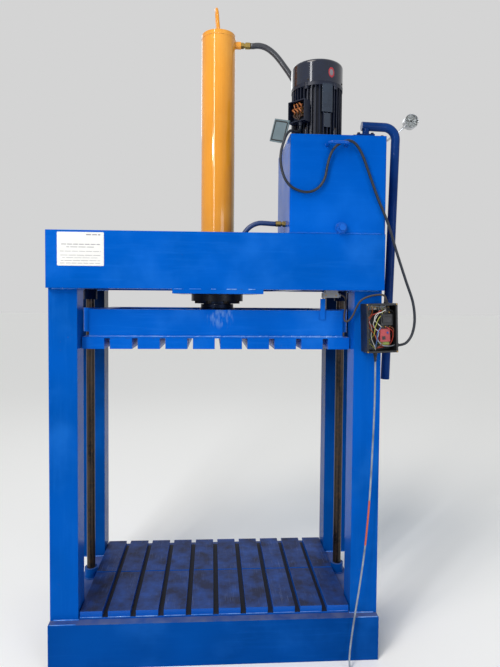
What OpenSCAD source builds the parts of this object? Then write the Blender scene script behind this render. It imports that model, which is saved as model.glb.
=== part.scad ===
// Vertical hydraulic recycling baler, open four-post frame.
// Millimetres. Origin at the middle of the base underside, +Z up, the front faces -Y, +X is the tank side.

/* [Base] */
// Overall width of the frame
press_w = 1485; // [1440:5:1600]
// Overall depth of the frame
press_d = 770; // [740:5:900]
// Height of the base channels
base_h = 200; // [150:5:300]
// Flange width of the base channels
base_flange = 75; // [60:1:90]
// Thickness of the plate under the bed ribs
bed_plate_t = 8; // [5:1:16]
// Height of a bed rib
bed_rib_h = 28; // [20:1:60]
// Width of a rib, the same on the bed and on the follower
rib_w = 100; // [90:1:102]
// Width of a strap slot between two ribs
slot_w = 25; // [15:1:25]
// Number of ribs across the press
rib_count = 10; // [8:1:10]
// Length of one bed rib, of which two lie end to end
bed_rib_len = 340; // [280:5:340]
// Gap between the front and the rear row of bed ribs
bed_row_gap = 8; // [2:1:20]
// Wall of the folded ribs
rib_wall = 6; // [4:1:8]

/* [Columns] */
// Width of a column, seen from the front
col_w = 125; // [100:1:125]
// Depth of a column
col_d = 110; // [90:1:140]
// Wall of a column
col_wall = 6; // [4:0.5:10]
// Height of a column between base and head
col_h = 1490; // [1300:10:1600]
// How far the columns stand behind the face of the base and the head
col_setback = 37; // [20:1:60]

/* [Head] */
// Height of the head channels
head_h = 250; // [200:5:300]
// Flange width of the head channels
head_flange = 80; // [60:1:90]
// Flange width of the two channels beside the cylinder
head_cross_flange = 70; // [50:1:76]
// Width of the plate under the head that carries the cylinder
mount_plate_w = 400; // [360:5:480]
// Thickness of that plate
mount_plate_t = 20; // [12:1:30]

/* [Rolled channels] */
// Web thickness of the base, head and follower channels
web_t = 8; // [5:0.5:12]
// Flange thickness at the tip
flange_tip_t = 8; // [5:0.5:10]
// Flange thickness at the web
flange_root_t = 12; // [10:0.5:16]

/* [Cylinder] */
// Outer diameter of the barrel
cyl_od = 168; // [150:1:180]
// Inner diameter of the barrel
cyl_id = 125; // [100:1:130]
// How far the barrel stands above the head
cyl_rise = 1020; // [980:5:1200]
// Thickness of the end cap on the barrel
cap_t = 20; // [12:1:40]
// Diameter of the flange under the head plate
flange_d = 262; // [250:1:280]
// Thickness of that flange
flange_t = 35; // [25:1:40]
// Diameter of the rod gland
gland_d = 228; // [180:1:230]
// Thickness of the visible disc of the gland
gland_t = 12; // [8:1:14]
// Length of the gland inside the barrel
gland_spigot = 60; // [40:1:90]
// Diameter of the piston rod
rod_d = 90; // [60:1:95]
// Thickness of the piston
piston_t = 60; // [40:1:80]
// Diameter of the bolt circle of the flange
flange_pcd = 214; // [200:1:216]
// Number of flange bolts
flange_bolt_count = 8; // [6:1:10]
// Diameter of the flange bolts
flange_bolt_d = 16; // [12:1:16]
// Diameter of the round bar of the lifting loop
loop_bar = 17; // [12:1:20]
// Height of the lifting loop above the cap
loop_h = 140; // [110:1:180]
// Distance between the legs of the lifting loop
loop_w = 84; // [60:1:110]
// Lean of the lifting loop, degrees
loop_lean = 5; // [0:1:8]
// Diameter of the welded port bosses
boss_d = 36; // [34:1:44]
// Bore of the ports
port_d = 16; // [10:1:20]
// How far a boss stands out of the barrel
boss_out = 28; // [24:1:34]

/* [Follower] */
// Gap between the head and the top of the follower at rest
foll_gap = 93; // [90:1:140]
// Width of the follower frame over its side channels
foll_frame_w = 1164; // [1120:2:1180]
// Depth of the follower over its ribs
foll_d = 578; // [520:2:640]
// How far the face of the follower channel stands behind the ribs
foll_setback = 10; // [2:1:16]
// Height of the follower channels
foll_h = 125; // [100:1:150]
// Flange width of the follower channels
foll_flange = 65; // [50:1:75]
// Thickness of the plate under the follower channels
foll_plate_t = 6; // [5:1:12]
// Height of a follower rib
foll_rib_h = 49; // [30:1:60]
// Diameter of the disc that couples rod and follower
coupling_d = 165; // [150:1:180]
// Thickness of that disc
coupling_t = 23; // [16:1:30]
// Half the distance between the webs of the two middle channels
foll_mid_half = 20; // [16:1:24]
// Width of the trip bar
trip_w = 22; // [16:1:30]
// Thickness of the trip bar
trip_t = 8; // [5:1:9]
// Length of the trip bar
trip_len = 96; // [80:1:110]
// How far the trip bar stands above the follower
trip_up = 54; // [48:1:54]
// Sideways place of the trip bar from the middle
trip_x = 486; // [440:1:500]

/* [Guides] */
// Diameter of a guide rod
guide_d = 42; // [36:1:46]
// How far the middle of a guide rod lies outside the inner face of the columns
guide_out = 28.5; // [28:0.5:40]
// How far the guide rods lie behind the middle
guide_y = 30; // [0:1:40]
// Outer diameter of a rod socket
socket_d = 66; // [58:1:66]
// Height of a rod socket
socket_h = 50; // [30:1:70]
// Outer diameter of a guide sleeve
sleeve_d = 66; // [56:1:66]
// Radial clearance between sleeve and rod
sleeve_play = 0.05; // [0.03:0.01:0.1]
// Thickness of the web between sleeve and follower
sleeve_web = 24; // [16:1:30]

/* [Tank] */
// Width of the tank
tank_w = 430; // [400:5:460]
// Depth of the tank
tank_d = 430; // [400:5:500]
// Height of the tank with its lid
tank_h = 432; // [380:2:500]
// Sheet thickness of the tank
tank_wall = 4; // [3:0.5:6]
// Thickness of the lid
lid_t = 6; // [4:1:10]
// Corner radius of the tank
tank_r = 9; // [6:1:16]
// Distance between the legs of the tank handle
handle_w = 84; // [80:1:96]
// How far the handle stands out
handle_out = 60; // [40:1:70]
// Bar diameter of the handle
handle_bar = 14; // [10:1:16]
// Depth of the handle below the top of the lid
handle_drop = 47; // [40:1:70]
// Diameter of the drain socket
drain_d = 48; // [36:1:56]

/* [Motor] */
// Diameter over the cooling fins
motor_d = 238; // [220:1:250]
// Length of the finned body
motor_body_h = 252; // [220:1:280]
// Depth of a cooling fin
fin_depth = 18; // [12:1:24]
// Number of cooling fins
fin_count = 40; // [24:2:44]
// Diameter of the motor flange
motor_flange_d = 250; // [250:1:262]
// Thickness of the motor flange
motor_flange_t = 18; // [12:1:24]
// Length of the fan cowl
cowl_h = 104; // [80:1:120]
// Diameter of the fan cowl
cowl_d = 243; // [240:1:256]
// Shaft diameter
shaft_d = 28; // [20:1:34]
// Width of the terminal box
tbox_w = 92; // [80:1:100]
// Height of the terminal box
tbox_h = 96; // [86:1:104]
// Depth of the terminal box
tbox_d = 44; // [36:1:56]

/* [Valve and gauge] */
// Width of the valve block
valve_w = 85; // [70:1:100]
// Depth of the valve block
valve_d = 110; // [90:1:130]
// Height of the valve block
valve_h = 66; // [50:1:66]
// Diameter of the valve stem
stem_d = 20; // [14:1:24]
// Outer diameter of the lever pipe
pipe_d = 42; // [34:1:44]
// Wall of the lever pipe
pipe_wall = 3.2; // [2:0.1:5]
// Reach of the lever from the stem to its hanging leg
lever_reach = 148; // [130:1:160]
// Drop of the hanging leg below its top
lever_drop = 1217; // [900:1:1300]
// Bend radius of the lever pipe at its middle line
lever_bend = 58; // [48:1:80]
// Lean of the hanging leg towards the tank, degrees
lever_lean = 1.5; // [0:0.5:2]
// Diameter of the gauge case
gauge_d = 72; // [60:1:80]
// Depth of the gauge case
gauge_t = 30; // [24:1:40]

/* [Starter box] */
// Width of the starter box
box_w = 138; // [130:1:150]
// Height of the starter box
box_h = 215; // [205:1:225]
// Depth of the starter box
box_d = 95; // [90:1:110]
// Sheet thickness of the starter box
box_wall = 2; // [1.5:0.5:3]
// Lean of the starter box, degrees
box_lean = 2; // [0:0.5:3]
// Travel of the reset button
reset_travel = 3; // [2:0.5:4]

/* [Limit switch] */
// Length of the switch body
switch_w = 72; // [64:1:80]
// Depth of the switch body
switch_d = 40; // [34:1:46]
// Height of the switch body
switch_h = 22; // [18:1:26]
// Diameter of the switch plunger
plunger_d = 10; // [8:1:12]
// Gap between the plunger and the trip bar at rest
plunger_gap = 1; // [0.5:0.5:2]

/* [Cables and hoses] */
// Diameter of the motor cable
motor_cable_d = 12; // [10:0.5:14]
// Diameter of the switch cable
switch_cable_d = 9; // [7:0.5:10]
// Diameter of the supply lead
supply_d = 8; // [6:0.5:9]
// Diameter of the upper hose
upper_hose_d = 29; // [22:1:32]
// Diameter of the lower hose
lower_hose_d = 23; // [18:1:24]
// Diameter of the plug
plug_d = 50; // [44:1:56]

/* [Hidden] */
$fn = 48;

blue = "#1f62d2";
deep_blue = "#173f8c";
orange = "#e8912a";
steel = "#a8a49c";
zinc = "#c9b46a";
black = "#26282b";
dark_grey = "#3a3f44";
light_grey = "#c4c6c8";
red = "#b8332b";

// Small overlap of a cutting tool past the face that it cuts
cut = 1;

// Base and bed
base_face_y = -press_d / 2;
inner_x = press_w / 2 - col_w;
rib_pitch = rib_w + slot_w;
ribs_w = rib_count * rib_w + (rib_count - 1) * slot_w;
bed_d = 2 * bed_rib_len + bed_row_gap;
rib_z = base_h + bed_plate_t;
base_cross_pitch = 170;

// Columns and head
col_y = press_d / 2 - col_setback - col_d / 2;
col_x = press_w / 2 - col_w / 2;
head_z = base_h + col_h;
head_top = head_z + head_h;
head_web_x = mount_plate_w / 2 - head_cross_flange;

// Cylinder
plate_z = head_z - mount_plate_t;
flange_z = plate_z - flange_t;
gland_z = flange_z - gland_t;
barrel_top = head_top + cyl_rise - cap_t;
cyl_top = barrel_top + cap_t;
port_in = boss_d / 2 + 1;
upper_port_z = barrel_top - port_in;
lower_port_z = flange_z + gland_spigot + port_in + 30;
boss_end = cyl_od / 2 + boss_out;
fit_play = 0.05;
bolt_play = 0.5;

// Follower
foll_top = head_z - foll_gap;
foll_z = foll_top - foll_h;
foll_plate_z = foll_z - foll_plate_t;
foll_rib_z = foll_plate_z - foll_rib_h;
foll_face_y = foll_d / 2 - foll_setback;
coupling_z = foll_top;
rod_top = barrel_top - 50 - piston_t;
piston_spigot_d = rod_d * 2 / 3;

// Guides
guide_x = inner_x + guide_out;
sleeve_z = foll_z + 5;

// Tank, motor and valve
tank_x0 = press_w / 2 - tank_w;
tank_y0 = base_face_y;
tank_mid_y = tank_y0 + tank_d / 2;
tank_top = head_top + tank_h;
motor_x = tank_x0 + 155;
motor_y = tank_mid_y;
fin_z = tank_top + motor_flange_t;
cowl_z = fin_z + motor_body_h;
tbox_out = motor_d / 2 + tbox_d / 2 + 1;
tbox_z = fin_z + 66;
tbox_turn = 225;
tbox_wall = 4;
valve_x = tank_x0 + tank_w - 35;
valve_top = tank_top + valve_h;
lever_z = valve_top + 43;
handle_z = tank_top - handle_drop;
handle_x = tank_x0 + tank_w / 2 - 11;
drain_x = tank_x0 + tank_w / 2 + 14;
drain_z = head_top + drain_d / 2;
gauge_x = valve_x + 260.5;
gauge_y = tank_mid_y + 110;
gauge_z = tank_top + 173;
gauge_turn = 39;
gauge_rim = 3;
gauge_recess = 8;
needle_angle = 225;

// Starter box
box_x = inner_x + 99.5;
box_y = base_face_y + col_setback - box_d;
box_mid_z = head_z - 165;
box_gland_d = 20;
box_gland_len = 16;

// Limit switch
switch_x0 = trip_x - 2;
switch_y = foll_face_y + trip_t / 2;
trip_top = foll_top + trip_up;
switch_z = trip_top + plunger_gap + 4;
plunger_x = trip_x + 6;

// Coil of the supply lead
coil_turn_r = 48;
coil_section_w = 26;
coil_section_h = 28;
coil_x = box_x - 69;
coil_y = base_face_y - 135;

// Hose ends
hose_end_len = 46;
valve_port_x = valve_x - 20;
valve_port_z = tank_top + 33;
valve_back_y = tank_mid_y + valve_d / 2;
tank_port_y = tank_y0 + 133;
tank_port_z = head_top + 57;
straight = 14;

// Cable entries of the terminal box and the starter box
tbox_entry = [
    motor_x + cos(tbox_turn) * (tbox_out + 6) - sin(tbox_turn) * 12,
    motor_y + sin(tbox_turn) * (tbox_out + 6) + cos(tbox_turn) * 12,
    tbox_z
];
entry_y = -box_d / 2 - 4.5;
supply_entry = [-21, entry_y, -box_h / 2];
switch_entry = [32, entry_y, box_h / 2];
motor_entry = [box_w / 2, entry_y, -80];

// Place in the press of a point of the leaning starter box
function in_press(p) = [
    box_x + cos(box_lean) * p[0] - sin(box_lean) * p[2],
    box_y + box_d + p[1],
    box_mid_z + sin(box_lean) * p[0] + cos(box_lean) * p[2]
];

// Points of a route, each given from place p
function from(p, route) = [for (q = route) p + q];

// Places that the routes are given from
tank_corner = [tank_x0, tank_y0, tank_top];
handle_top = [handle_x, tank_y0, handle_z + handle_bar / 2];
head_corner = [press_w / 2, base_face_y, head_z];
box_front = [box_x, base_face_y, box_mid_z];
floor_front = [box_x, base_face_y, 0];
switch_gland = [switch_x0 + switch_w, -switch_y, switch_z + switch_h / 2];
upper_port = [boss_end + hose_end_len, 0, upper_port_z];
valve_port = [valve_port_x, valve_back_y + hose_end_len, valve_port_z];
tank_port = [tank_x0 - hose_end_len, tank_port_y, tank_port_z];
lower_port = [0, -boss_end - hose_end_len, lower_port_z];
web_pass = [head_web_x, tank_port_y, tank_port_z];
gauge_mid = [gauge_x, gauge_y, gauge_z];
pipe_start = [valve_x + valve_w / 3, tank_mid_y + 24, tank_top + 38];

// Routes of the cables and hoses
motor_cable_route = concat(
    [tbox_entry + [0, 0, 6], tbox_entry - [0, 0, 20]],
    from(tank_corner, [
        [53, 89, 40], [32, 55, 26], [2, 19, 18], [-20, -9, -10],
        [-32, -17, -42], [-42, -17, -78], [-45, -16, -119], [-38, -15, -162],
        [-23, -15, -202], [0, -15, -230], [31, -15, -247], [66, -15, -255],
        [101, -15, -249], [131, -15, -227], [151, -16, -192], [159, -17, -150],
        [167, -19, -112], [182, -20, -75]
    ]),
    from(handle_top, [[0, -21, -10], [27, -21, 5], [55, -21, 9], [83, -21, -8]]),
    from(tank_corner, [[316, -19, -94], [344, -17, -164]]),
    from(head_corner, [[-43, -16, 406], [3, -16, 300], [49, -16, 162], [91, -16, 42]]),
    from(box_front, [[149, -16, 115], [159, -16, 35], [149, -16, -27], [125, -15, -65]]),
    [in_press(motor_entry + [24, 0, 0]), in_press(motor_entry - [6, 0, 0])]
);
switch_cable_route = concat(
    [switch_gland, switch_gland + [22, 0, 0]],
    from(switch_gland, [[36, -7, -17], [33, -21, -49], [22, -41, -89], [19, -61, -114], [30, -72, -116]]),
    from(box_front, [
        [-112, 20, 50], [-97, 14, 87], [-78, 7, 120], [-42, -1, 139], [-5, -9, 146], [17, -14, 144]
    ]),
    [in_press(switch_entry + [0, 0, 20]), in_press(switch_entry - [0, 0, 6])]
);
supply_route = concat(
    [in_press(supply_entry + [0, 0, 6]), in_press(supply_entry - [0, 0, 24])],
    from(floor_front, [
        [-16, -16, 1190], [-23, -17, 960], [-33, -18, 740], [-49, -19, 540], [-71, -21, 365],
        [-93, -24, 220], [-109, -28, 110], [-116, -37, 44], [-117, -55, 12], [-117, -77, 4.5]
    ]),
    [[coil_x - coil_turn_r, coil_y + 34, 4.5]]
);
upper_hose_route = concat(
    [upper_port, upper_port + [straight, 0, 0]],
    from(upper_port, [[42, 0, 3], [74, 0, -3], [106, 0, -21], [138, 0, -50], [172, 0, -92], [206, 2, -137]]),
    from(valve_port, [
        [-277, 79, 311], [-227, 99, 235], [-172, 119, 165], [-117, 131, 95],
        [-65, 127, 39], [-29, 107, 11], [-7, 71, 1]
    ]),
    [valve_port + [0, 2 * straight, 0], valve_port]
);
lower_hose_route = concat(
    [tank_port, tank_port - [straight, 0, 0]],
    from(tank_port, [[-46, 0, 2], [-78, 0, 2]]),
    from(web_pass, [[28, 0, -9], [2, 2, -31], [-19, 6, -63], [-37, 11, -103]]),
    from(lower_port, [[75, -76, 102], [54, -68, 54], [30, -54, 20], [10, -38, 4]]),
    [lower_port - [0, straight, 0], lower_port]
);
gauge_pipe_route = concat(
    [pipe_start, pipe_start + [16, 0, 0]],
    from(pipe_start, [[44, 18, 3], [76, 52, 14]]),
    from(gauge_mid, [[-118, -8, -96], [-76, 0, -62], [-46, 0, -38], [-24, 0, -20]])
);

// Unit vector along v
function unit(v) = v / norm(v);

// Direction of a route at point i, from its neighbours
function heading(p, i) = unit(p[min(i + 1, len(p) - 1)] - p[max(i - 1, 0)]);

// Part of s that stands square to direction t
function square_to(s, t) = unit(s - t * (s * t));

// One side vector for each point, carried along the route without twist
function side_vectors(p, start) = [
    for (i = 0, s = square_to(start, heading(p, 0));
         i < len(p);
         i = i + 1, s = i < len(p) ? square_to(s, heading(p, i)) : s) s
];

// Outline of a rolled channel: web on the left, flanges taper to their tips
module channel_outline(h, f) {
    polygon([
        [0, 0], [f, 0], [f, flange_tip_t], [web_t, flange_root_t],
        [web_t, h - flange_root_t], [f, h - flange_tip_t], [f, h], [0, h]
    ]);
}

// Channel along X, its web faces -Y at y = 0
module channel_x(length, h, f) {
    rotate([90, 0, 90]) linear_extrude(length, center = true) channel_outline(h, f);
}

// Channel along Y, its web at x = 0 and its flanges towards +X
module channel_y(length, h, f) {
    rotate([90, 0, 0]) linear_extrude(length, center = true) channel_outline(h, f);
}

// Rectangle with round corners, made of exact arcs
module round_rect(w, d, r) {
    square([w - 2 * r, d], center = true);
    square([w, d - 2 * r], center = true);
    for (sx = [-1, 1], sy = [-1, 1])
        translate([sx * (w / 2 - r), sy * (d / 2 - r)]) circle(r);
}

// Turns +Z of its children to direction v
module towards(v) {
    rotate([0, acos(v[2] / norm(v)), atan2(v[1], v[0])]) children();
}

// Round cord of diameter d along a route of points
module cord(p, d, sides) {
    s = side_vectors(p, [0.1, 1, 0.2]);
    n = len(p);
    rings = [
        for (i = [0:n - 1])
            let (t = heading(p, i), u = s[i], w = cross(t, u))
            for (k = [0:sides - 1])
                p[i] + d / 2 * (cos(360 * k / sides) * u + sin(360 * k / sides) * w)
    ];
    walls = [
        for (i = [0:n - 2], k = [0:sides - 1])
            let (a = i * sides + k, b = i * sides + (k + 1) % sides)
            [a, a + sides, b + sides, b]
    ];
    first = [[for (k = [0:sides - 1]) k]];
    last = [[for (k = [sides - 1:-1:0]) (n - 1) * sides + k]];
    polyhedron(rings, concat(walls, first, last), convexity = 6);
}

// Rib folded from plate: closed top and ends, open below
module folded_rib(length, h) {
    difference() {
        translate([-rib_w / 2, -length / 2, 0]) cube([rib_w, length, h]);
        translate([-rib_w / 2 + rib_wall, -length / 2 + rib_wall, -cut])
            cube([rib_w - 2 * rib_wall, length - 2 * rib_wall, h - rib_wall + cut]);
    }
}

// Places its child once for each rib across the press
module rib_row() {
    for (i = [0:rib_count - 1])
        translate([(i - (rib_count - 1) / 2) * rib_pitch, 0, 0]) children();
}

// Box column, closed by the beams that it stands between
module box_column() {
    translate([0, 0, base_h]) linear_extrude(col_h) difference() {
        square([col_w, col_d], center = true);
        square([col_w - 2 * col_wall, col_d - 2 * col_wall], center = true);
    }
}

// Hex head with the bolt under it, head at z = 0 and shank along +Z
module hex_bolt(d, length) {
    translate([0, 0, -0.7 * d]) cylinder(h = 0.7 * d, r = 0.9 * d, $fn = 6);
    cylinder(h = length, d = d, $fn = 24);
}

// Hex nut that sits on z = 0
module hex_nut(d) {
    difference() {
        cylinder(h = 0.8 * d, r = 0.9 * d, $fn = 6);
        translate([0, 0, -cut]) cylinder(h = 0.8 * d + 2 * cut, d = d, $fn = 24);
    }
}

// Hose end: swivel nut and crimped ferrule along +Z
module hose_end(hose_d, length) {
    cylinder(h = 14, d = hose_d + 4, $fn = 6);
    translate([0, 0, 14]) cylinder(h = 8, d = hose_d - 6);
    translate([0, 0, 22]) cylinder(h = length - 22, d = hose_d + 3);
}

// Compression gland: hex body and dome, hollow for its cable, along +Z
module gland(cable_d) {
    difference() {
        union() {
            cylinder(h = 6, d = box_gland_d + 2, $fn = 6);
            cylinder(h = box_gland_len, d = box_gland_d - 3, $fn = 32);
        }
        translate([0, 0, -cut]) cylinder(h = box_gland_len + 2 * cut, d = cable_d, $fn = 32);
    }
}

module base_front_beam() {
    color(blue) translate([0, base_face_y, 0]) channel_x(press_w, base_h, base_flange);
}

module base_rear_beam() {
    color(blue) mirror([0, 1, 0]) translate([0, base_face_y, 0]) channel_x(press_w, base_h, base_flange);
}

// Side channels under the columns, and three channels that carry the bed
module base_cross_beams() {
    span = press_d - 2 * base_flange;
    color(blue) {
        for (s = [0, 1]) mirror([s, 0, 0])
            translate([inner_x, 0, 0]) channel_y(span, base_h, base_flange);
        for (k = [-1:1])
            translate([0, k * base_cross_pitch - base_flange / 2, 0])
                channel_x(2 * inner_x, base_h, base_flange);
    }
}

module bed_plate() {
    color(blue) translate([-ribs_w / 2, -bed_d / 2, base_h]) cube([ribs_w, bed_d, bed_plate_t]);
}

module bed_ribs() {
    color(blue) for (s = [-1, 1])
        translate([0, s * (bed_rib_len + bed_row_gap) / 2, rib_z])
            rib_row() folded_rib(bed_rib_len, bed_rib_h);
}

module front_columns() {
    color(blue) for (s = [-1, 1]) translate([s * col_x, -col_y, 0]) box_column();
}

module rear_columns() {
    color(blue) for (s = [-1, 1]) translate([s * col_x, col_y, 0]) box_column();
}

module head_front_beam() {
    color(blue) translate([0, base_face_y, head_z]) channel_x(press_w, head_h, head_flange);
}

module head_rear_beam() {
    color(blue) mirror([0, 1, 0])
        translate([0, base_face_y, head_z]) channel_x(press_w, head_h, head_flange);
}

// Side channels, two channels beside the cylinder, and one under the edge of the tank
module head_cross_beams() {
    span = press_d - 2 * head_flange;
    color(blue) translate([0, 0, head_z]) {
        for (s = [0, 1]) mirror([s, 0, 0]) {
            translate([inner_x, 0, 0]) channel_y(span, head_h, head_flange);
            translate([head_web_x, 0, 0])
                channel_y(span, head_h, head_cross_flange);
        }
        translate([tank_x0, 0, 0]) channel_y(span, head_h, head_flange);
    }
}

// Places its child on each flange bolt
module on_flange_bolts() {
    for (i = [0:flange_bolt_count - 1])
        rotate(360 * (i + 0.5) / flange_bolt_count) translate([flange_pcd / 2, 0, 0]) children();
}

module cylinder_mount_plate() {
    color(blue) translate([0, 0, plate_z]) difference() {
        translate([-mount_plate_w / 2, base_face_y, 0]) cube([mount_plate_w, press_d, mount_plate_t]);
        translate([0, 0, -cut]) cylinder(h = mount_plate_t + 2 * cut, d = cyl_od + 2 * bolt_play);
        on_flange_bolts() translate([0, 0, -cut])
            cylinder(h = mount_plate_t + 2 * cut, d = flange_bolt_d + 2 * bolt_play, $fn = 24);
    }
}

// Honed tube with its two welded port bosses
module cylinder_barrel() {
    color(orange) difference() {
        union() {
            translate([0, 0, flange_z]) cylinder(h = barrel_top - flange_z, d = cyl_od, $fn = 96);
            translate([0, 0, upper_port_z]) rotate([0, 90, 0]) cylinder(h = boss_end, d = boss_d);
            translate([0, 0, lower_port_z]) rotate([90, 0, 0]) cylinder(h = boss_end, d = boss_d);
        }
        translate([0, 0, flange_z - cut])
            cylinder(h = barrel_top - flange_z + 2 * cut, d = cyl_id, $fn = 96);
        translate([0, 0, upper_port_z]) rotate([0, 90, 0]) cylinder(h = boss_end + cut, d = port_d);
        translate([0, 0, lower_port_z]) rotate([90, 0, 0]) cylinder(h = boss_end + cut, d = port_d);
    }
}

module cylinder_cap() {
    color(orange) translate([0, 0, barrel_top]) cylinder(h = cap_t, d = cyl_od, $fn = 96);
}

module cylinder_flange() {
    color(black) translate([0, 0, flange_z]) difference() {
        cylinder(h = flange_t, d = flange_d, $fn = 96);
        translate([0, 0, -cut]) cylinder(h = flange_t + 2 * cut, d = cyl_od, $fn = 96);
        on_flange_bolts() translate([0, 0, -cut])
            cylinder(h = flange_t + 2 * cut, d = flange_bolt_d + 2 * bolt_play, $fn = 24);
    }
}

// Turned gland: disc with bolt notches left clear, spigot in the barrel, bore for the rod
module rod_gland() {
    color(dark_grey) translate([0, 0, gland_z]) difference() {
        union() {
            cylinder(h = gland_t, d = flange_pcd - 2 * flange_bolt_d, $fn = 96);
            cylinder(h = gland_t + gland_spigot, d = cyl_id, $fn = 96);
            difference() {
                cylinder(h = gland_t, d = gland_d, $fn = 96);
                on_flange_bolts() translate([0, 0, -cut])
                    cylinder(h = gland_t + 2 * cut, r = flange_bolt_d);
            }
        }
        translate([0, 0, -cut])
            cylinder(h = gland_t + gland_spigot + 2 * cut, d = rod_d + 2 * fit_play, $fn = 96);
    }
}

module flange_bolts() {
    grip = flange_t + mount_plate_t;
    color(dark_grey) translate([0, 0, flange_z]) on_flange_bolts() {
        hex_bolt(flange_bolt_d, grip + flange_bolt_d);
        translate([0, 0, grip]) hex_nut(flange_bolt_d);
    }
}

// Bent round bar, its legs cut off square on the cap
module lifting_loop() {
    r = loop_w / 2;
    straight = loop_h - r - loop_bar / 2;
    color(orange) translate([0, 0, cyl_top]) intersection() {
        rotate([0, -loop_lean, 0]) {
            for (s = [-1, 1]) translate([0, s * r, -loop_bar])
                cylinder(h = straight + loop_bar, d = loop_bar, $fn = 32);
            translate([0, 0, straight]) rotate([90, 0, 90])
                rotate_extrude(angle = 180) translate([r, 0]) circle(d = loop_bar, $fn = 32);
        }
        translate([-loop_w, -loop_w, 0]) cube([2 * loop_w, 2 * loop_w, 2 * loop_h]);
    }
}

// Four hose ends: upper port, valve block, tank side, lower port
module hose_fittings() {
    color(zinc) {
        translate([boss_end, 0, upper_port_z]) towards([1, 0, 0]) hose_end(upper_hose_d, hose_end_len);
        translate([valve_port_x, valve_back_y, valve_port_z]) towards([0, 1, 0])
            hose_end(upper_hose_d, hose_end_len);
        translate([tank_x0, tank_port_y, tank_port_z]) towards([-1, 0, 0])
            hose_end(lower_hose_d, hose_end_len);
        translate([0, -boss_end, lower_port_z]) towards([0, -1, 0])
            hose_end(lower_hose_d, hose_end_len);
    }
}

module upper_hose() {
    color(black) cord(upper_hose_route, upper_hose_d, 12);
}

module lower_hose() {
    color(deep_blue) cord(lower_hose_route, lower_hose_d, 12);
}

module guide_rods() {
    color(steel) for (s = [-1, 1])
        translate([s * guide_x, guide_y, base_h]) cylinder(h = col_h, d = guide_d, $fn = 64);
}

module rod_sockets() {
    color(blue) for (s = [-1, 1], z = [base_h, head_z - socket_h])
        translate([s * guide_x, guide_y, z]) difference() {
            cylinder(h = socket_h, d = socket_d, $fn = 64);
            translate([0, 0, -cut]) cylinder(h = socket_h + 2 * cut, d = guide_d, $fn = 64);
        }
}

module follower_front_channel() {
    color(blue) translate([0, -foll_face_y, foll_z]) channel_x(foll_frame_w, foll_h, foll_flange);
}

module follower_rear_channel() {
    color(blue) mirror([0, 1, 0])
        translate([0, -foll_face_y, foll_z]) channel_x(foll_frame_w, foll_h, foll_flange);
}

// Side channels with their webs outside, and two channels under the rod
module follower_cross_channels() {
    span = 2 * (foll_face_y - foll_flange);
    color(blue) translate([0, 0, foll_z]) for (s = [0, 1]) mirror([s, 0, 0]) {
        translate([foll_frame_w / 2, 0, 0]) mirror([1, 0, 0]) channel_y(span, foll_h, foll_flange);
        translate([foll_mid_half, 0, 0]) channel_y(span, foll_h, foll_flange);
    }
}

module follower_plate() {
    color(blue) translate([-ribs_w / 2, -foll_d / 2, foll_plate_z]) cube([ribs_w, foll_d, foll_plate_t]);
}

// Ribs folded from plate, welded under the follower plate with their closed side down
module follower_ribs() {
    color(blue) translate([0, 0, foll_plate_z]) mirror([0, 0, 1])
        rib_row() folded_rib(foll_d, foll_rib_h);
}

// Sleeve with its web and foot plate, on the side channel of the follower
module guide_sleeves() {
    h = foll_top - sleeve_z;
    arm = guide_x - foll_frame_w / 2;
    foot_t = 10;
    color(blue) for (s = [0, 1]) mirror([s, 0, 0]) translate([guide_x, guide_y, sleeve_z]) difference() {
        union() {
            cylinder(h = h, d = sleeve_d, $fn = 64);
            translate([-arm, -sleeve_web / 2, 0]) cube([arm, sleeve_web, h]);
            translate([-arm, -sleeve_d / 2, 0]) cube([foot_t, sleeve_d, h]);
        }
        translate([0, 0, -cut]) cylinder(h = h + 2 * cut, d = guide_d + 2 * sleeve_play, $fn = 64);
    }
}

// Disc welded on the follower, with the seat of the rod
module rod_coupling() {
    color(dark_grey) translate([0, 0, coupling_z]) difference() {
        cylinder(h = coupling_t, d = coupling_d, $fn = 96);
        translate([0, 0, -cut]) cylinder(h = coupling_t + 2 * cut, d = rod_d * 0.75, $fn = 64);
        translate([0, 0, coupling_t / 2]) cylinder(h = coupling_t, d = rod_d, $fn = 96);
    }
}

// Chromed rod with a turned end in the coupling and a spigot for the piston
module piston_rod() {
    color(steel) {
        translate([0, 0, coupling_z]) cylinder(h = coupling_t / 2, d = rod_d * 0.75, $fn = 64);
        translate([0, 0, coupling_z + coupling_t / 2])
            cylinder(h = rod_top - coupling_z - coupling_t / 2, d = rod_d, $fn = 96);
        translate([0, 0, rod_top]) cylinder(h = piston_t, d = piston_spigot_d, $fn = 64);
    }
}

// Piston with two seal grooves
module piston() {
    groove = 6;
    color(light_grey) translate([0, 0, rod_top]) difference() {
        cylinder(h = piston_t, d = cyl_id - 2 * fit_play, $fn = 96);
        translate([0, 0, -cut]) cylinder(h = piston_t + 2 * cut, d = piston_spigot_d, $fn = 64);
        for (z = [piston_t / 4, piston_t * 3 / 4]) translate([0, 0, z - groove / 2]) difference() {
            cylinder(h = groove, d = cyl_id + 2, $fn = 96);
            translate([0, 0, -cut]) cylinder(h = groove + 2 * cut, d = cyl_id - 2 * groove, $fn = 96);
        }
    }
}

// Flat bar on the face of the follower that works the limit switch
module trip_bar() {
    color(blue) translate([trip_x - trip_w / 2, -foll_face_y - trip_t, trip_top - trip_len])
        cube([trip_w, trip_t, trip_len]);
}

// Open sheet box, folded with round corners
module tank_shell() {
    h = tank_h - lid_t;
    color(blue) translate([tank_x0 + tank_w / 2, tank_mid_y, head_top]) difference() {
        linear_extrude(h) round_rect(tank_w, tank_d, tank_r);
        translate([0, 0, tank_wall]) linear_extrude(h)
            round_rect(tank_w - 2 * tank_wall, tank_d - 2 * tank_wall, tank_r - tank_wall);
    }
}

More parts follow.
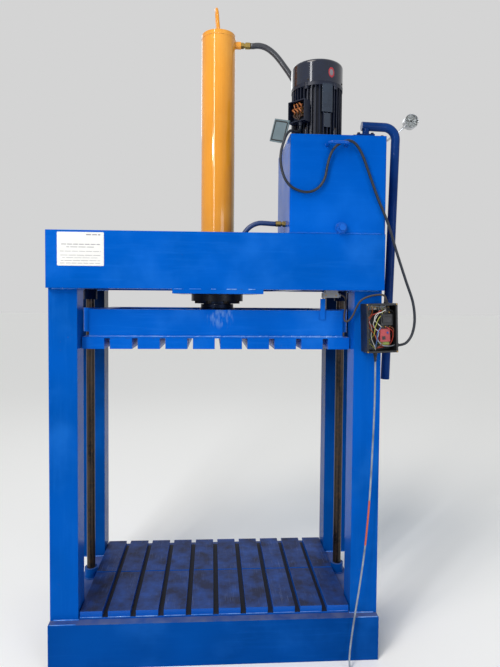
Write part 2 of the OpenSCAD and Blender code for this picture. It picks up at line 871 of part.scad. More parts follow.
// Lid with the hole for the motor spigot and a filler neck with its cap
module tank_lid() {
    neck_d = 54;
    color(blue) difference() {
        union() {
            translate([tank_x0 + tank_w / 2, tank_mid_y, tank_top - lid_t])
                linear_extrude(lid_t) round_rect(tank_w, tank_d, tank_r);
            translate([tank_x0 + 60, tank_y0 + tank_d - 56, tank_top]) {
                cylinder(h = 22, d = neck_d);
                translate([0, 0, 22]) cylinder(h = 16, d = neck_d + 14, $fn = 32);
            }
        }
        translate([motor_x, motor_y, tank_top - lid_t - cut])
            cylinder(h = lid_t + 2 * cut, d = shaft_d * 2.5);
    }
}

// Bent round bar that stands out of the tank front
module tank_handle() {
    r = handle_out - handle_bar / 2;
    bend = handle_bar + 4;
    color(blue) translate([handle_x, tank_y0, handle_z]) {
        translate([-handle_w / 2 + bend, -r, 0]) rotate([0, 90, 0])
            cylinder(h = handle_w - 2 * bend, d = handle_bar, $fn = 32);
        for (s = [0, 1]) mirror([s, 0, 0]) {
            translate([handle_w / 2, 0, 0]) rotate([90, 0, 0])
                cylinder(h = r - bend, d = handle_bar, $fn = 32);
            translate([handle_w / 2 - bend, bend - r, 0]) rotate(-90)
                rotate_extrude(angle = 90) translate([bend, 0]) circle(d = handle_bar, $fn = 32);
        }
    }
}

// Welded socket with its hex plug
module drain_plug() {
    color(blue) translate([drain_x, tank_y0, drain_z]) rotate([90, 0, 0]) {
        cylinder(h = 16, d = drain_d);
        translate([0, 0, 16]) cylinder(h = 6, d = drain_d - 8);
        translate([0, 0, 22]) cylinder(h = 14, d = drain_d - 16, $fn = 6);
    }
}

// Gear pump under the lid, its adapter, suction pipe and strainer
module oil_pump() {
    adapter_h = 90;
    adapter_d = motor_flange_d - 120;
    body_h = 110;
    body_w = 100;
    bore_d = shaft_d + 2 * fit_play;
    z1 = tank_top - lid_t;
    color(dark_grey) translate([motor_x, motor_y, 0]) difference() {
        union() {
            translate([0, 0, z1 - adapter_h]) cylinder(h = adapter_h, d = adapter_d, $fn = 64);
            translate([-body_w / 2, -60, z1 - adapter_h - body_h]) cube([body_w, 120, body_h]);
            translate([body_w / 2, 0, z1 - adapter_h - 60]) rotate([0, 90, 0]) cylinder(h = 60, d = 30);
            translate([110, 0, head_top + 30]) cylinder(h = z1 - adapter_h - head_top - 75, d = 30);
            translate([110, 0, head_top + 20]) cylinder(h = 110, d = 80);
        }
        translate([0, 0, z1 - adapter_h + 10]) cylinder(h = adapter_h, d = adapter_d - 30);
        translate([0, 0, z1 - adapter_h - 40]) cylinder(h = 60, d = bore_d);
    }
}

// Cast stator housing with cooling fins, flange below, bearing seat above
module motor_body() {
    core_d = motor_d - 2 * fin_depth;
    fin_t = 4;
    color(black) translate([motor_x, motor_y, 0]) difference() {
        union() {
            translate([0, 0, tank_top]) cylinder(h = motor_flange_t, d = motor_flange_d, $fn = 96);
            translate([0, 0, fin_z]) linear_extrude(motor_body_h) {
                circle(d = core_d, $fn = 96);
                for (i = [0:fin_count - 1]) rotate(360 * (i + 0.5) / fin_count)
                    translate([0, -fin_t / 2]) square([motor_d / 2, fin_t]);
            }
            translate([0, 0, fin_z]) cylinder(h = 14, d = motor_d, $fn = 96);
            translate([0, 0, cowl_z - 16]) cylinder(h = 16, d = cowl_d - 1, $fn = 96);
            rotate(tbox_turn) translate([core_d / 2 - 10, -34, tbox_z + 14])
                cube([tbox_out - tbox_d / 2 - core_d / 2 + 10, 68, tbox_h - 28]);
        }
        translate([0, 0, tank_top - cut])
            cylinder(h = motor_flange_t + motor_body_h + 2 * cut, d = shaft_d + 2 * fit_play);
    }
}

// Pressed sheet cowl with an air grille in its top
module fan_cowl() {
    t = 3;
    r = cowl_d / 2;
    corner = 16;
    color(black) translate([motor_x, motor_y, cowl_z]) difference() {
        rotate_extrude($fn = 96) difference() {
            union() {
                square([r, cowl_h - corner]);
                square([r - corner, cowl_h]);
                translate([r - corner, cowl_h - corner]) circle(corner);
            }
            translate([-cut, -cut]) square([r - t + cut, cowl_h - corner + cut]);
            translate([-cut, -cut]) square([r - corner + cut, cowl_h - t + cut]);
            translate([r - corner, cowl_h - corner]) circle(corner - t);
        }
        for (i = [0:23]) rotate(360 * i / 24) translate([38, -3, cowl_h - 2 * t])
            cube([62, 6, 3 * t]);
    }
}

module motor_shaft() {
    color(steel) translate([motor_x, motor_y, tank_top - lid_t - 125])
        cylinder(h = cowl_z - tank_top + lid_t + 125 + 60, d = shaft_d);
}

// Fan: back plate, hub and straight blades
module motor_fan() {
    fan_d = 170;
    fan_h = 40;
    color(dark_grey) translate([motor_x, motor_y, cowl_z + 14]) {
        linear_extrude(5) difference() {
            circle(d = fan_d);
            circle(d = shaft_d);
        }
        translate([0, 0, 5]) linear_extrude(fan_h - 5) difference() {
            union() {
                circle(d = 60);
                for (i = [0:6]) rotate(360 * i / 7) translate([20, -2]) square([fan_d / 2 - 22, 4]);
            }
            circle(d = shaft_d);
        }
    }
}

// Moves its children to the terminal box: +X points out of its open front
module at_terminal_box() {
    translate([motor_x, motor_y, tbox_z]) rotate(tbox_turn) translate([tbox_out, 0, 0]) children();
}

// Open cast box on the side of the motor, with its cable gland below
module terminal_box() {
    inner = tbox_w - 2 * tbox_wall;
    color(black) at_terminal_box() {
        difference() {
            translate([-tbox_d / 2, -tbox_w / 2, 0]) cube([tbox_d, tbox_w, tbox_h]);
            translate([-tbox_d / 2 + tbox_wall, -inner / 2, tbox_wall])
                cube([tbox_d, inner, tbox_h - 2 * tbox_wall]);
            translate([6, 12, -cut]) cylinder(h = tbox_wall + 2 * cut, d = motor_cable_d);
        }
        translate([6, 12, 0]) rotate([180, 0, 0]) gland(motor_cable_d);
    }
}

// Moulded block with six studs
module terminal_block() {
    block_w = tbox_w - 32;
    block_h = tbox_h - 54;
    block_t = 14;
    color("#7a4a2a") at_terminal_box() translate([-tbox_d / 2 + tbox_wall, 0, 30]) {
        translate([0, -block_w / 2, 0]) cube([block_t, block_w, block_h]);
        for (i = [-1:1], s = [-1, 1])
            translate([block_t, i * block_w / 3, block_h / 2 + s * block_h / 4]) rotate([0, 90, 0])
                cylinder(h = block_t, d = 6, $fn = 24);
    }
}

// Loose cover, hanging by one screw from the lower corner of the box
module terminal_cover() {
    cover_h = tbox_h + 8;
    screw_in = 6;
    color(light_grey) at_terminal_box() translate([tbox_d / 2, screw_in - tbox_w / 2, screw_in + 2])
        rotate([-18, 0, 0]) {
            translate([0, screw_in - tbox_w, screw_in - cover_h]) cube([3, tbox_w, cover_h]);
            rotate([0, 90, 0]) cylinder(h = 7, d = 11, $fn = 24);
        }
}

// Cast block of the rotary hand valve
module valve_block() {
    color(deep_blue) translate([valve_x, tank_mid_y, tank_top]) difference() {
        union() {
            translate([-valve_w * 2 / 3, -valve_d / 2, 0]) cube([valve_w, valve_d, valve_h - 8]);
            cylinder(h = valve_h, d = 50);
        }
        translate([0, 0, valve_h - 44]) cylinder(h = 44 + cut, d = stem_d + 2 * fit_play);
    }
}

// Lever: stem and post in the valve, pipe bent down to the operator
module valve_lever() {
    elbow_x = lever_reach - lever_bend;
    hang = lever_drop - lever_bend;
    color(deep_blue) translate([valve_x, tank_mid_y, 0]) {
        translate([0, 0, valve_top - 43]) cylinder(h = 44, d = stem_d);
        translate([0, 0, valve_top + 1]) cylinder(h = lever_z - valve_top - 1 - pipe_d / 4, d = 33);
        translate([0, 0, lever_z]) rotate([0, lever_lean, 0]) {
            translate([-pipe_d / 2, 0, 0]) rotate([0, 90, 0])
                cylinder(h = elbow_x + pipe_d / 2, d = pipe_d);
            translate([elbow_x, 0, -lever_bend]) rotate([90, 0, 0])
                rotate_extrude(angle = 90) translate([lever_bend, 0]) circle(d = pipe_d);
            translate([lever_reach, 0, -lever_bend - hang]) difference() {
                cylinder(h = hang, d = pipe_d);
                translate([0, 0, -cut]) cylinder(h = hang - pipe_d, d = pipe_d - 2 * pipe_wall);
            }
        }
    }
}

// Moves its children to the gauge: +Z points out of the dial, +Y along the stem's far side
module at_gauge() {
    translate([gauge_x, gauge_y, gauge_z]) rotate([90, 0, 0]) rotate(-90 + gauge_turn) children();
}

// Gauge case, its dial set back in the rim, stem and the pipe from the valve
module pressure_gauge() {
    color(light_grey) at_gauge() {
        difference() {
            translate([0, 0, -gauge_t / 2]) cylinder(h = gauge_t, d = gauge_d, $fn = 64);
            translate([0, 0, gauge_t / 2 - gauge_recess])
                cylinder(h = gauge_recess + cut, d = gauge_d - 2 * gauge_rim, $fn = 64);
        }
        translate([0, -gauge_d / 2 + 2, 0]) rotate([90, 0, 0]) cylinder(h = 16, d = 14, $fn = 32);
    }
    color(steel) cord(gauge_pipe_route, 11, 8);
}

module gauge_glass() {
    color(light_grey, 0.35) at_gauge() translate([0, 0, gauge_t / 2 - 2.5])
        cylinder(h = 2, d = gauge_d - 2 * gauge_rim, $fn = 64);
}

// Needle with its hub, free between dial and glass
module gauge_needle() {
    color(black) at_gauge() rotate(needle_angle) translate([0, 0, gauge_t / 2 - gauge_recess]) {
        cylinder(h = 4, d = 8, $fn = 24);
        translate([-6, -1, 1.5]) cube([gauge_d / 2 - 6, 2, 1]);
    }
}

// Moves its children to the starter box: origin in the middle of its back, leaning with it
module at_starter_box() {
    translate([box_x, box_y + box_d, box_mid_z]) rotate([0, -box_lean, 0]) children();
}

// Open sheet box with its three cable glands; its lid is missing
module starter_box() {
    flange = 8;
    color(black) at_starter_box() {
        difference() {
            translate([-box_w / 2, -box_d, -box_h / 2]) cube([box_w, box_d, box_h]);
            translate([-box_w / 2 + box_wall, -box_d + box_wall, -box_h / 2 + box_wall])
                cube([box_w - 2 * box_wall, box_d - 2 * box_wall, box_h - 2 * box_wall]);
            translate([-box_w / 2 + flange, -box_d - cut, -box_h / 2 + flange])
                cube([box_w - 2 * flange, box_wall + 2 * cut, box_h - 2 * flange]);
            translate(supply_entry - [0, 0, cut]) cylinder(h = 2 * cut + box_wall, d = supply_d);
            translate(switch_entry - [0, 0, box_wall + cut])
                cylinder(h = 2 * cut + box_wall, d = switch_cable_d);
            translate(motor_entry - [box_wall + cut, 0, 0]) rotate([0, 90, 0])
                cylinder(h = 2 * cut + box_wall, d = motor_cable_d);
        }
        translate(supply_entry) rotate([180, 0, 0]) gland(supply_d);
        translate(switch_entry) gland(switch_cable_d);
        translate(motor_entry) rotate([0, 90, 0]) gland(motor_cable_d);
    }
}

// Contactor: base, narrower head and its row of screws
module contactor() {
    w = box_w - 78;
    h = box_h - 135;
    d = box_d - 45;
    head_d = 24;
    color(black) at_starter_box() translate([26, -box_wall, 36]) {
        translate([-w / 2, -d, -h / 2]) cube([w, d, h]);
        translate([4 - w / 2, -d - head_d, 16 - h / 2]) cube([w - 8, head_d, h - 32]);
        for (i = [-1:1], s = [-1, 1]) translate([i * w / 3, -d, s * (h / 2 - 8)]) rotate([90, 0, 0])
            cylinder(h = 5, d = 10, $fn = 24);
    }
}

// Overload relay, hung under the contactor, with the guide of its reset button
module overload_relay() {
    color(red) at_starter_box() translate([22, -box_wall, -34]) difference() {
        union() {
            translate([-22, -62, -28]) cube([44, 62, 56]);
            translate([-22, -50, 28]) cube([44, 30, 2]);
        }
        translate([10, -62 - cut, 12]) rotate([-90, 0, 0]) cylinder(h = 12, d = 9, $fn = 32);
    }
}

module reset_button() {
    color("#2b53a8") at_starter_box() translate([22 + 10, -box_wall - 62, -34 + 12]) rotate([90, 0, 0]) {
        translate([0, 0, -6]) cylinder(h = 6 + reset_travel, d = 9 - 2 * fit_play, $fn = 32);
    }
}

// Limit switch under the head, on its mounting block, with a cable gland
module limit_switch() {
    color(light_grey) difference() {
        union() {
            translate([switch_x0, -switch_y - switch_d / 2, switch_z]) cube([switch_w, switch_d, switch_h]);
            translate([switch_x0 + 8, -switch_y - switch_d, switch_z + switch_h])
                cube([switch_w - 16, switch_d, head_z - switch_z - switch_h]);
        }
        translate([plunger_x, -switch_y, switch_z - cut])
            cylinder(h = switch_h - 4 + cut, d = plunger_d + 2 * fit_play, $fn = 32);
    }
    color(black) translate(switch_gland) rotate([0, 90, 0]) difference() {
        cylinder(h = 12, d = switch_h - 4, $fn = 32);
        translate([0, 0, -cut]) cylinder(h = 12 + 2 * cut, d = switch_cable_d, $fn = 32);
    }
}

module switch_plunger() {
    color(steel) translate([plunger_x, -switch_y, trip_top + plunger_gap])
        cylinder(h = 14, d = plunger_d, $fn = 32);
}

module motor_cable() {
    color(black) cord(motor_cable_route, motor_cable_d, 8);
}

module switch_cable() {
    color(dark_grey) cord(switch_cable_route, switch_cable_d, 8);
}

module supply_lead() {
    color(light_grey) cord(supply_route, supply_d, 8);
}

// Outer shape of the coiled rest of the supply lead
module supply_coil() {
    color(light_grey) translate([coil_x, coil_y, 0])
        rotate_extrude() translate([coil_turn_r, coil_section_h / 2])
            round_rect(coil_section_w, coil_section_h, 11);
}

// Round five-pin plug, lying on the floor beside the coil
module supply_plug() {
    r = plug_d / 2;
    color(dark_grey) translate([coil_x + 20, coil_y - coil_turn_r - 12, r]) rotate([0, 90, 0]) {
        cylinder(h = 18, d = supply_d + 5);
        translate([0, 0, 18]) cylinder(h = 26, d = plug_d * 0.7);
        translate([0, 0, 44]) cylinder(h = 56, d = plug_d);
        for (a = [0:72:359]) rotate(a) translate([r * 0.6, 0, 98]) cylinder(h = 18, d = 6, $fn = 24);
    }
}

base_front_beam();
base_rear_beam();
base_cross_beams();
bed_plate();
bed_ribs();
front_columns();
rear_columns();
head_front_beam();
head_rear_beam();
head_cross_beams();
cylinder_mount_plate();
cylinder_barrel();
cylinder_cap();
cylinder_flange();
rod_gland();
flange_bolts();
lifting_loop();
hose_fittings();
upper_hose();
lower_hose();
guide_rods();
rod_sockets();
follower_front_channel();
follower_rear_channel();
follower_cross_channels();
follower_plate();
follower_ribs();
guide_sleeves();
rod_coupling();
piston_rod();
piston();
trip_bar();
tank_shell();
tank_lid();
tank_handle();
drain_plug();
oil_pump();
motor_body();
fan_cowl();
motor_shaft();
motor_fan();
terminal_box();
terminal_block();
terminal_cover();
valve_block();
valve_lever();
pressure_gauge();
gauge_glass();
gauge_needle();
starter_box();
contactor();
overload_relay();
reset_button();
limit_switch();
switch_plunger();
motor_cable();
switch_cable();
supply_lead();
supply_coil();
supply_plug();
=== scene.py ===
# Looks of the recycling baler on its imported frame. Lengths in millimetres until they reach a mesh.
import math
import bpy
import numpy as np
from mathutils import Matrix, Vector


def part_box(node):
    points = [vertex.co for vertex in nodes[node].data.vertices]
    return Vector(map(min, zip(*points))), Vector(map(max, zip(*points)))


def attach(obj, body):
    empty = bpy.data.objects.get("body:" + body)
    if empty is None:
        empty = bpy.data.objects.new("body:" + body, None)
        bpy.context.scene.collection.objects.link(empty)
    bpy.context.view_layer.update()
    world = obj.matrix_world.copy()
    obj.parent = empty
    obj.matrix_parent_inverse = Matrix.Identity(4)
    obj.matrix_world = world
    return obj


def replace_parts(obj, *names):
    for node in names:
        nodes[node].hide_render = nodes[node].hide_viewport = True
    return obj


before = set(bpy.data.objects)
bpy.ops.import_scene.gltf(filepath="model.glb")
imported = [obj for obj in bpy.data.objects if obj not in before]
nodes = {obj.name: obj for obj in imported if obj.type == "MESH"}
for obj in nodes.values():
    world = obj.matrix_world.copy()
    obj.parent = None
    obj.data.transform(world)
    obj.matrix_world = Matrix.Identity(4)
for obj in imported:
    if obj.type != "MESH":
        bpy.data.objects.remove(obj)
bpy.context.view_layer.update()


# Camera
# Stands at eye height in front of the press, turned a little to the right and tilted a little down. Its
# place is in metres, and its heading from +Y towards +X, its tilt and its roll are in degrees.
eye, heading, tilt, roll = (-0.0257, -2.6992, 1.6557), 3.30, 2.16, 0.44
turns = ((-heading, "Z"), (90 - tilt, "X"), (roll, "Z"))
lens = bpy.data.cameras.new("camera")
lens.sensor_width = 36
lens.lens = 28.43
lens.shift_x = 0.0114
lens.shift_y = -0.0246
lens.clip_start = 0.05
lens.clip_end = 90
camera = bpy.data.objects.new("camera", lens)
camera.matrix_world = Matrix.Translation(eye)
for angle, axis in turns:
    camera.matrix_world = camera.matrix_world @ Matrix.Rotation(math.radians(angle), 4, axis)
bpy.context.scene.collection.objects.link(camera)
bpy.context.scene.camera = camera


# Supply lead
# A free lead of dull, dirty grey PVC that hangs from the starter box and ends in a coil and a plug on the
# floor. Orange tape is wound round a stretch of it, and tapered sleeves hold it at the box and at the plug.
def mesh_piece(name, points, faces, body="frame", smooth=True):
    """A new mesh object from points in millimetres and faces, riding on a body."""
    mesh = bpy.data.meshes.new(name)
    mesh.from_pydata((np.asarray(points, float) / 1000).tolist(), [], faces)
    mesh.update()
    if smooth:
        mesh.shade_smooth()
    piece = bpy.data.objects.new(name, mesh)
    bpy.context.scene.collection.objects.link(piece)
    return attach(piece, body)


def smooth_line(points, step):
    """Points along a Catmull-Rom line through the route, about one step apart in millimetres."""
    p = np.asarray(points, float)
    p = np.vstack([2 * p[0] - p[1], p, 2 * p[-1] - p[-2]])
    out = []
    for a, b, c, d in zip(p[:-3], p[1:-2], p[2:-1], p[3:]):
        n = max(1, int(round(np.linalg.norm(c - b) / step)))
        t = np.arange(n)[:, None] / n
        out.append(0.5 * (2 * b + (c - a) * t + (2 * a - 5 * b + 4 * c - d) * t ** 2
                          + (3 * b - a - 3 * c + d) * t ** 3))
    return np.vstack(out + [p[-2:-1]])


def ring_faces(rings, sides, loop=False):
    """Quads between neighbouring rings, then two end faces, or a last strip back to the first ring."""
    i, k = np.meshgrid(np.arange(rings if loop else rings - 1), np.arange(sides), indexing="ij")
    a, b = i * sides + k, i * sides + (k + 1) % sides
    count = rings * sides
    quads = np.stack([a, b, (b + sides) % count, (a + sides) % count], -1).reshape(-1, 4).tolist()
    if loop:
        return quads
    return quads + [list(range(sides))[::-1], list(range(count - sides, count))]


def tube(name, line, radius, sides=12, body="frame"):
    """A round tube: each ring is the radius times cosine and sine in the plane square to its line."""
    line = np.asarray(line, float)
    along = np.gradient(line, axis=0)
    along /= np.linalg.norm(along, axis=1)[:, None]
    side = np.cross(along[0], (0.13, 0.2, 0.97) if abs(along[0][2]) < 0.9 else (0.97, 0.2, 0.1))
    turn = np.arange(sides) * 2 * math.pi / sides
    rings = []
    for place, t, r in zip(line, along, np.broadcast_to(radius, len(line))):
        side = side - t * side.dot(t)
        side /= np.linalg.norm(side)
        other = np.cross(t, side)
        rings.append(place + r * (np.cos(turn)[:, None] * side + np.sin(turn)[:, None] * other))
    return mesh_piece(name, np.vstack(rings), ring_faces(len(line), sides), body)


def ease(t):
    """A smooth step from 0 to 1."""
    t = np.clip(t, 0, 1)
    return t * t * (3 - 2 * t)


def coil_turns(centre, radii, heights, start, turns, points=16):
    """Turns beside and on each other: late in each one the lead climbs, then moves to its next radius."""
    radii, heights = np.array(radii), np.array(heights)
    climb, move, share = 0.42, 0.72, 0.28
    t = np.arange(int(turns * points) + 1) / points
    j = np.minimum(t.astype(int), len(radii) - 2)
    r = radii[j] + (radii[j + 1] - radii[j]) * ease((t - j - move) / share)
    h = heights[j] + (heights[j + 1] - heights[j]) * ease((t - j - climb) / share)
    a = start + 2 * math.pi * t
    return np.stack([centre[0] + r * np.cos(a), centre[1] + r * np.sin(a), h], 1)


def linear(code):
    """Linear RGBA of an sRGB hex colour."""
    values = [int(code[i:i + 2], 16) / 255 for i in (1, 3, 5)]
    return [v / 12.92 if v <= 0.04045 else ((v + 0.055) / 1.055) ** 2.4 for v in values] + [1.0]


def connect(tree, node, links):
    """Links or sets inputs of a node. A hex colour is turned to linear."""
    for key, value in links.items():
        if isinstance(value, bpy.types.NodeSocket):
            tree.links.new(value, node.inputs[key])
        else:
            node.inputs[key].default_value = linear(value) if isinstance(value, str) else value


def add(tree, kind, links=None, out=0, **settings):
    """Adds a shader node with its settings and links, and returns one of its outputs."""
    node = tree.nodes.new("ShaderNode" + kind)
    for key, value in settings.items():
        setattr(node, key, value)
    connect(tree, node, links or {})
    return node.outputs[out]


def begin(name):
    """A new material, with its tree, its Principled shader and its object coordinates."""
    material = bpy.data.materials.new(name)
    material.use_nodes = True
    tree = material.node_tree
    return material, tree, tree.nodes["Principled BSDF"], add(tree, "TexCoord", out="Object")


def dress(material, slot, *pieces):
    """Gives one material to named nodes and new pieces. Its slot is not used."""
    for piece in pieces:
        if isinstance(piece, str):
            piece = nodes[piece]
        piece.data.materials.clear()
        piece.data.materials.append(material)


def satin(name, colour, shade, rough, dust=0.3, grain=2.0, uneven=0.12, gloss=0.5, coat=0.0, wet=0.06):
    """Plastic, rubber or sprayed enamel: tone over 45 mm, grain in mm, soft edges, dust on its top."""
    material, tree, shader, place = begin(name)
    cloud = add(tree, "TexNoise", {"Vector": place, "Scale": 1000 / 45, "Detail": 4.0})
    tone = add(tree, "Mix", {0: cloud, 6: colour, 7: shade}, out=2, data_type="RGBA")
    up = add(tree, "SeparateXYZ", {0: add(tree, "NewGeometry", out="Normal")}, out=2)
    settled = add(tree, "TexNoise", {"Vector": place, "Scale": 1000 / 30, "Detail": 5.0})
    flat = add(tree, "MapRange", {0: up, 1: 0.5, 2: 0.95, 4: dust}, interpolation_type="SMOOTHSTEP")
    film = add(tree, "Math", {0: flat, 1: settled}, operation="MULTIPLY")
    fine = add(tree, "TexNoise", {"Vector": place, "Scale": 1000 / grain})
    rounded = add(tree, "Bevel", {"Radius": 0.0008}, samples=4)
    connect(tree, shader, {
        "Base Color": add(tree, "Mix", {0: film, 6: tone, 7: "#8a857c"}, out=2, data_type="RGBA"),
        "Roughness": add(tree, "MapRange", {0: settled, 1: 0.3, 2: 0.75, 3: rough - 0.05,
                                            4: rough + uneven}),
        "Specular IOR Level": gloss,
        "Coat Weight": coat,
        "Coat Roughness": wet,
        "Normal": add(tree, "Bump", {"Height": fine, "Distance": 0.00006, "Normal": rounded}),
    })
    return material


def lead_jacket(name, low=549, high=751):
    """Grey PVC, dirty in patches, with orange tape between two heights. The tape's edges wander by 14 mm."""
    material, tree, shader, place = begin(name)
    height = add(tree, "SeparateXYZ", {0: place}, out=2)
    wander = add(tree, "TexNoise", {"Vector": place, "Scale": 1000 / 20})
    height = add(tree, "Math", {0: wander, 1: 0.014, 2: height}, operation="MULTIPLY_ADD")
    above = add(tree, "MapRange", {0: height, 1: low / 1000, 2: low / 1000 + 0.003})
    below = add(tree, "MapRange", {0: height, 1: high / 1000 + 0.003, 2: high / 1000})
    taped = add(tree, "Math", {0: above, 1: below}, operation="MULTIPLY")
    dirt = add(tree, "TexNoise", {"Vector": place, "Scale": 1000 / 60, "Detail": 5.0})
    dirt = add(tree, "MapRange", {0: dirt, 1: 0.35, 2: 0.7})
    jacket = add(tree, "Mix", {0: dirt, 6: "#8f9aa5", 7: "#5a6470"}, out=2, data_type="RGBA")
    connect(tree, shader, {
        "Base Color": add(tree, "Mix", {0: taped, 6: jacket, 7: "#b5502c"}, out=2, data_type="RGBA"),
        "Roughness": 0.42,
    })
    return material


lead_d = 8
hanging_route = [
    (700.5, -400, 1401), (701.2, -400, 1376), (701, -401, 1190), (694, -402, 960), (684, -403, 740),
    (668, -404, 540), (646, -406, 365), (624, -409, 220), (608, -414, 110), (599, -425, 46), (595, -443, 14),
    (592, -466, 5), (590.9, -492, 4.6),
]
coil_route = coil_turns((648, -520), (57.1, 48.4, 39.6, 44, 52.8, 61.5), (4.6, 4.6, 4.6, 12.9, 12.9, 12.9),
                        math.pi, 5.25)
plug_route = [(649, -581, 19), (668, -580, 24.6)]
lead_line = smooth_line(np.vstack([hanging_route, coil_route[:-1], plug_route]), 8)
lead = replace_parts(tube("supply_lead_tube", lead_line, lead_d / 2), "supply_lead", "supply_coil")
relief = tube("plug_strain_relief", [(640, -580.5, 18), (652, -580.3, 21.5), (668, -580, 25)],
              (4.6, 5.4, 6.6), 16)
sleeve = tube("box_strain_relief", [(700.5, -400, 1402), (700.8, -400, 1390), (701.2, -400, 1374)],
              (7.6, 6.6, 4.9), 16)
grey_plastic = satin("grey_moulding", "#767a7e", "#5f6367", 0.45)
dress(lead_jacket("grey_lead_jacket"), "lead_plastic", lead, "supply_lead", "supply_coil")
dress(grey_plastic, "grey_plastic", relief, "supply_plug")
dress(satin("black_relief_rubber", "#17181b", "#222327", 0.5, 0.1), "black_plastic", sleeve)


# Cables and hoses
# Fixed rubber cables of the motor and the limit switch, and two hydraulic hoses with a dusty cover. Each
# follows the route of its own cord in the frame.
motor_route = [
    (371.3, -283.1, 2462), (371.3, -283.1, 2436), (365.5, -296, 2412), (344.5, -330, 2398),
    (314.5, -366, 2390), (292.5, -394, 2362), (280.5, -402, 2330), (270.5, -402, 2294), (267.5, -401, 2253),
    (274.5, -400, 2210), (289.5, -400, 2170), (312.5, -400, 2142), (343.5, -400, 2125), (378.5, -400, 2117),
    (413.5, -400, 2123), (443.5, -400, 2145), (463.5, -401, 2180), (471.5, -402, 2222), (479.5, -404, 2260),
    (494.5, -405, 2297), (516.5, -406, 2322), (543.5, -406, 2337), (571.5, -406, 2341), (599.5, -406, 2324),
    (628.5, -404, 2278), (656.5, -402, 2208), (699.5, -401, 2096), (745.5, -401, 1990), (791.5, -401, 1852),
    (833.5, -401, 1732), (866, -401, 1640), (876, -401, 1560), (866, -401, 1498), (842, -400, 1460),
    (812.7, -400, 1448.3), (782.8, -400, 1447.3),
]
switch_route = [
    (556, -283, 1667), (578, -283, 1667), (592, -290, 1650), (589, -304, 1618), (578, -324, 1578),
    (575, -344, 1553), (586, -355, 1551), (605, -365, 1575), (620, -371, 1612), (639, -378, 1645),
    (675, -386, 1664), (712, -394, 1671), (734, -399, 1669), (744.5, -400, 1653.6), (745.4, -400, 1627.6),
]
upper_route = [
    (158, 0, 2921), (172, 0, 2921), (200, 0, 2924), (232, 0, 2918), (264, 0, 2900), (296, 0, 2871),
    (330, 0, 2829), (364, 2, 2784), (410.5, 10, 2716), (460.5, 30, 2640), (515.5, 50, 2570),
    (570.5, 62, 2500), (622.5, 58, 2444), (658.5, 38, 2416), (680.5, 2, 2406), (687.5, -41, 2405),
    (687.5, -69, 2405),
]
lower_route = [
    (266.5, -252, 1997), (252.5, -252, 1997), (220.5, -252, 1999), (188.5, -252, 1999), (158, -252, 1988),
    (132, -250, 1966), (111, -246, 1934), (93, -241, 1894), (75, -234, 1846), (54, -226, 1798),
    (30, -212, 1764), (10, -196, 1748), (0, -172, 1744), (0, -158, 1744),
]
flexible = {
    "motor_cable": (motor_route, 9, 5.9, 12, "cable_rubber",
                    satin("dark_cable_jacket", "#141a24", "#232a34", 0.36, 0.1, gloss=0.35)),
    "switch_cable": (switch_route, 7, 4.4, 12, "cable_rubber",
                     satin("brown_cable_jacket", "#2a2420", "#3d332c", 0.5)),
    "upper_hose": (upper_route, 10, 14.4, 24, "hose_rubber",
                   satin("hose_cover", "#26282e", "#3f4249", 0.34, 0.6, coat=0.3)),
    "lower_hose": (lower_route, 9, 11.4, 20, "blue_hose_rubber",
                   satin("blue_hose_cover", "#16305e", "#1d3a6c", 0.4)),
}
for name, (route, step, radius, sides, slot, cover) in flexible.items():
    piece = tube(name + "_tube", smooth_line(route, step), radius, sides)
    dress(cover, slot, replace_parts(piece, name), name)


# Hose ends
# Swivel nuts and crimped ferrules of yellow-passivated zinc on steel, one on each end of each hose.
def machined(name, colour, shade, rough, grain=(1, 1, 1), metallic=1.0, depth=0.02):
    """Bare metal: grain of 3 mm that can stretch along an axis, cloudy sheen over 60 mm, soft edges."""
    material, tree, shader, place = begin(name)
    drawn = add(tree, "Mapping", {"Vector": place, "Scale": [1000 / 3 / g for g in grain]})
    fine = add(tree, "TexNoise", {"Vector": drawn, "Scale": 1.0, "Detail": 3.0})
    cloud = add(tree, "TexNoise", {"Vector": place, "Scale": 1000 / 60, "Detail": 4.0})
    sheen = add(tree, "Math", {0: fine, 1: cloud}, operation="ADD")
    rounded = add(tree, "Bevel", {"Radius": 0.0008}, samples=4)
    connect(tree, shader, {
        "Base Color": add(tree, "Mix", {0: cloud, 6: colour, 7: shade}, out=2, data_type="RGBA"),
        "Roughness": add(tree, "MapRange", {0: sheen, 1: 0.6, 2: 1.4, 3: rough - 0.06, 4: rough + 0.12}),
        "Metallic": metallic,
        "Normal": add(tree, "Bump", {"Height": fine, "Distance": depth / 1000, "Normal": rounded}),
    })
    return material


dress(machined("yellow_zinc_plate", "#c2a45a", "#97834c", 0.34), "zinc_fittings", "hose_fittings")
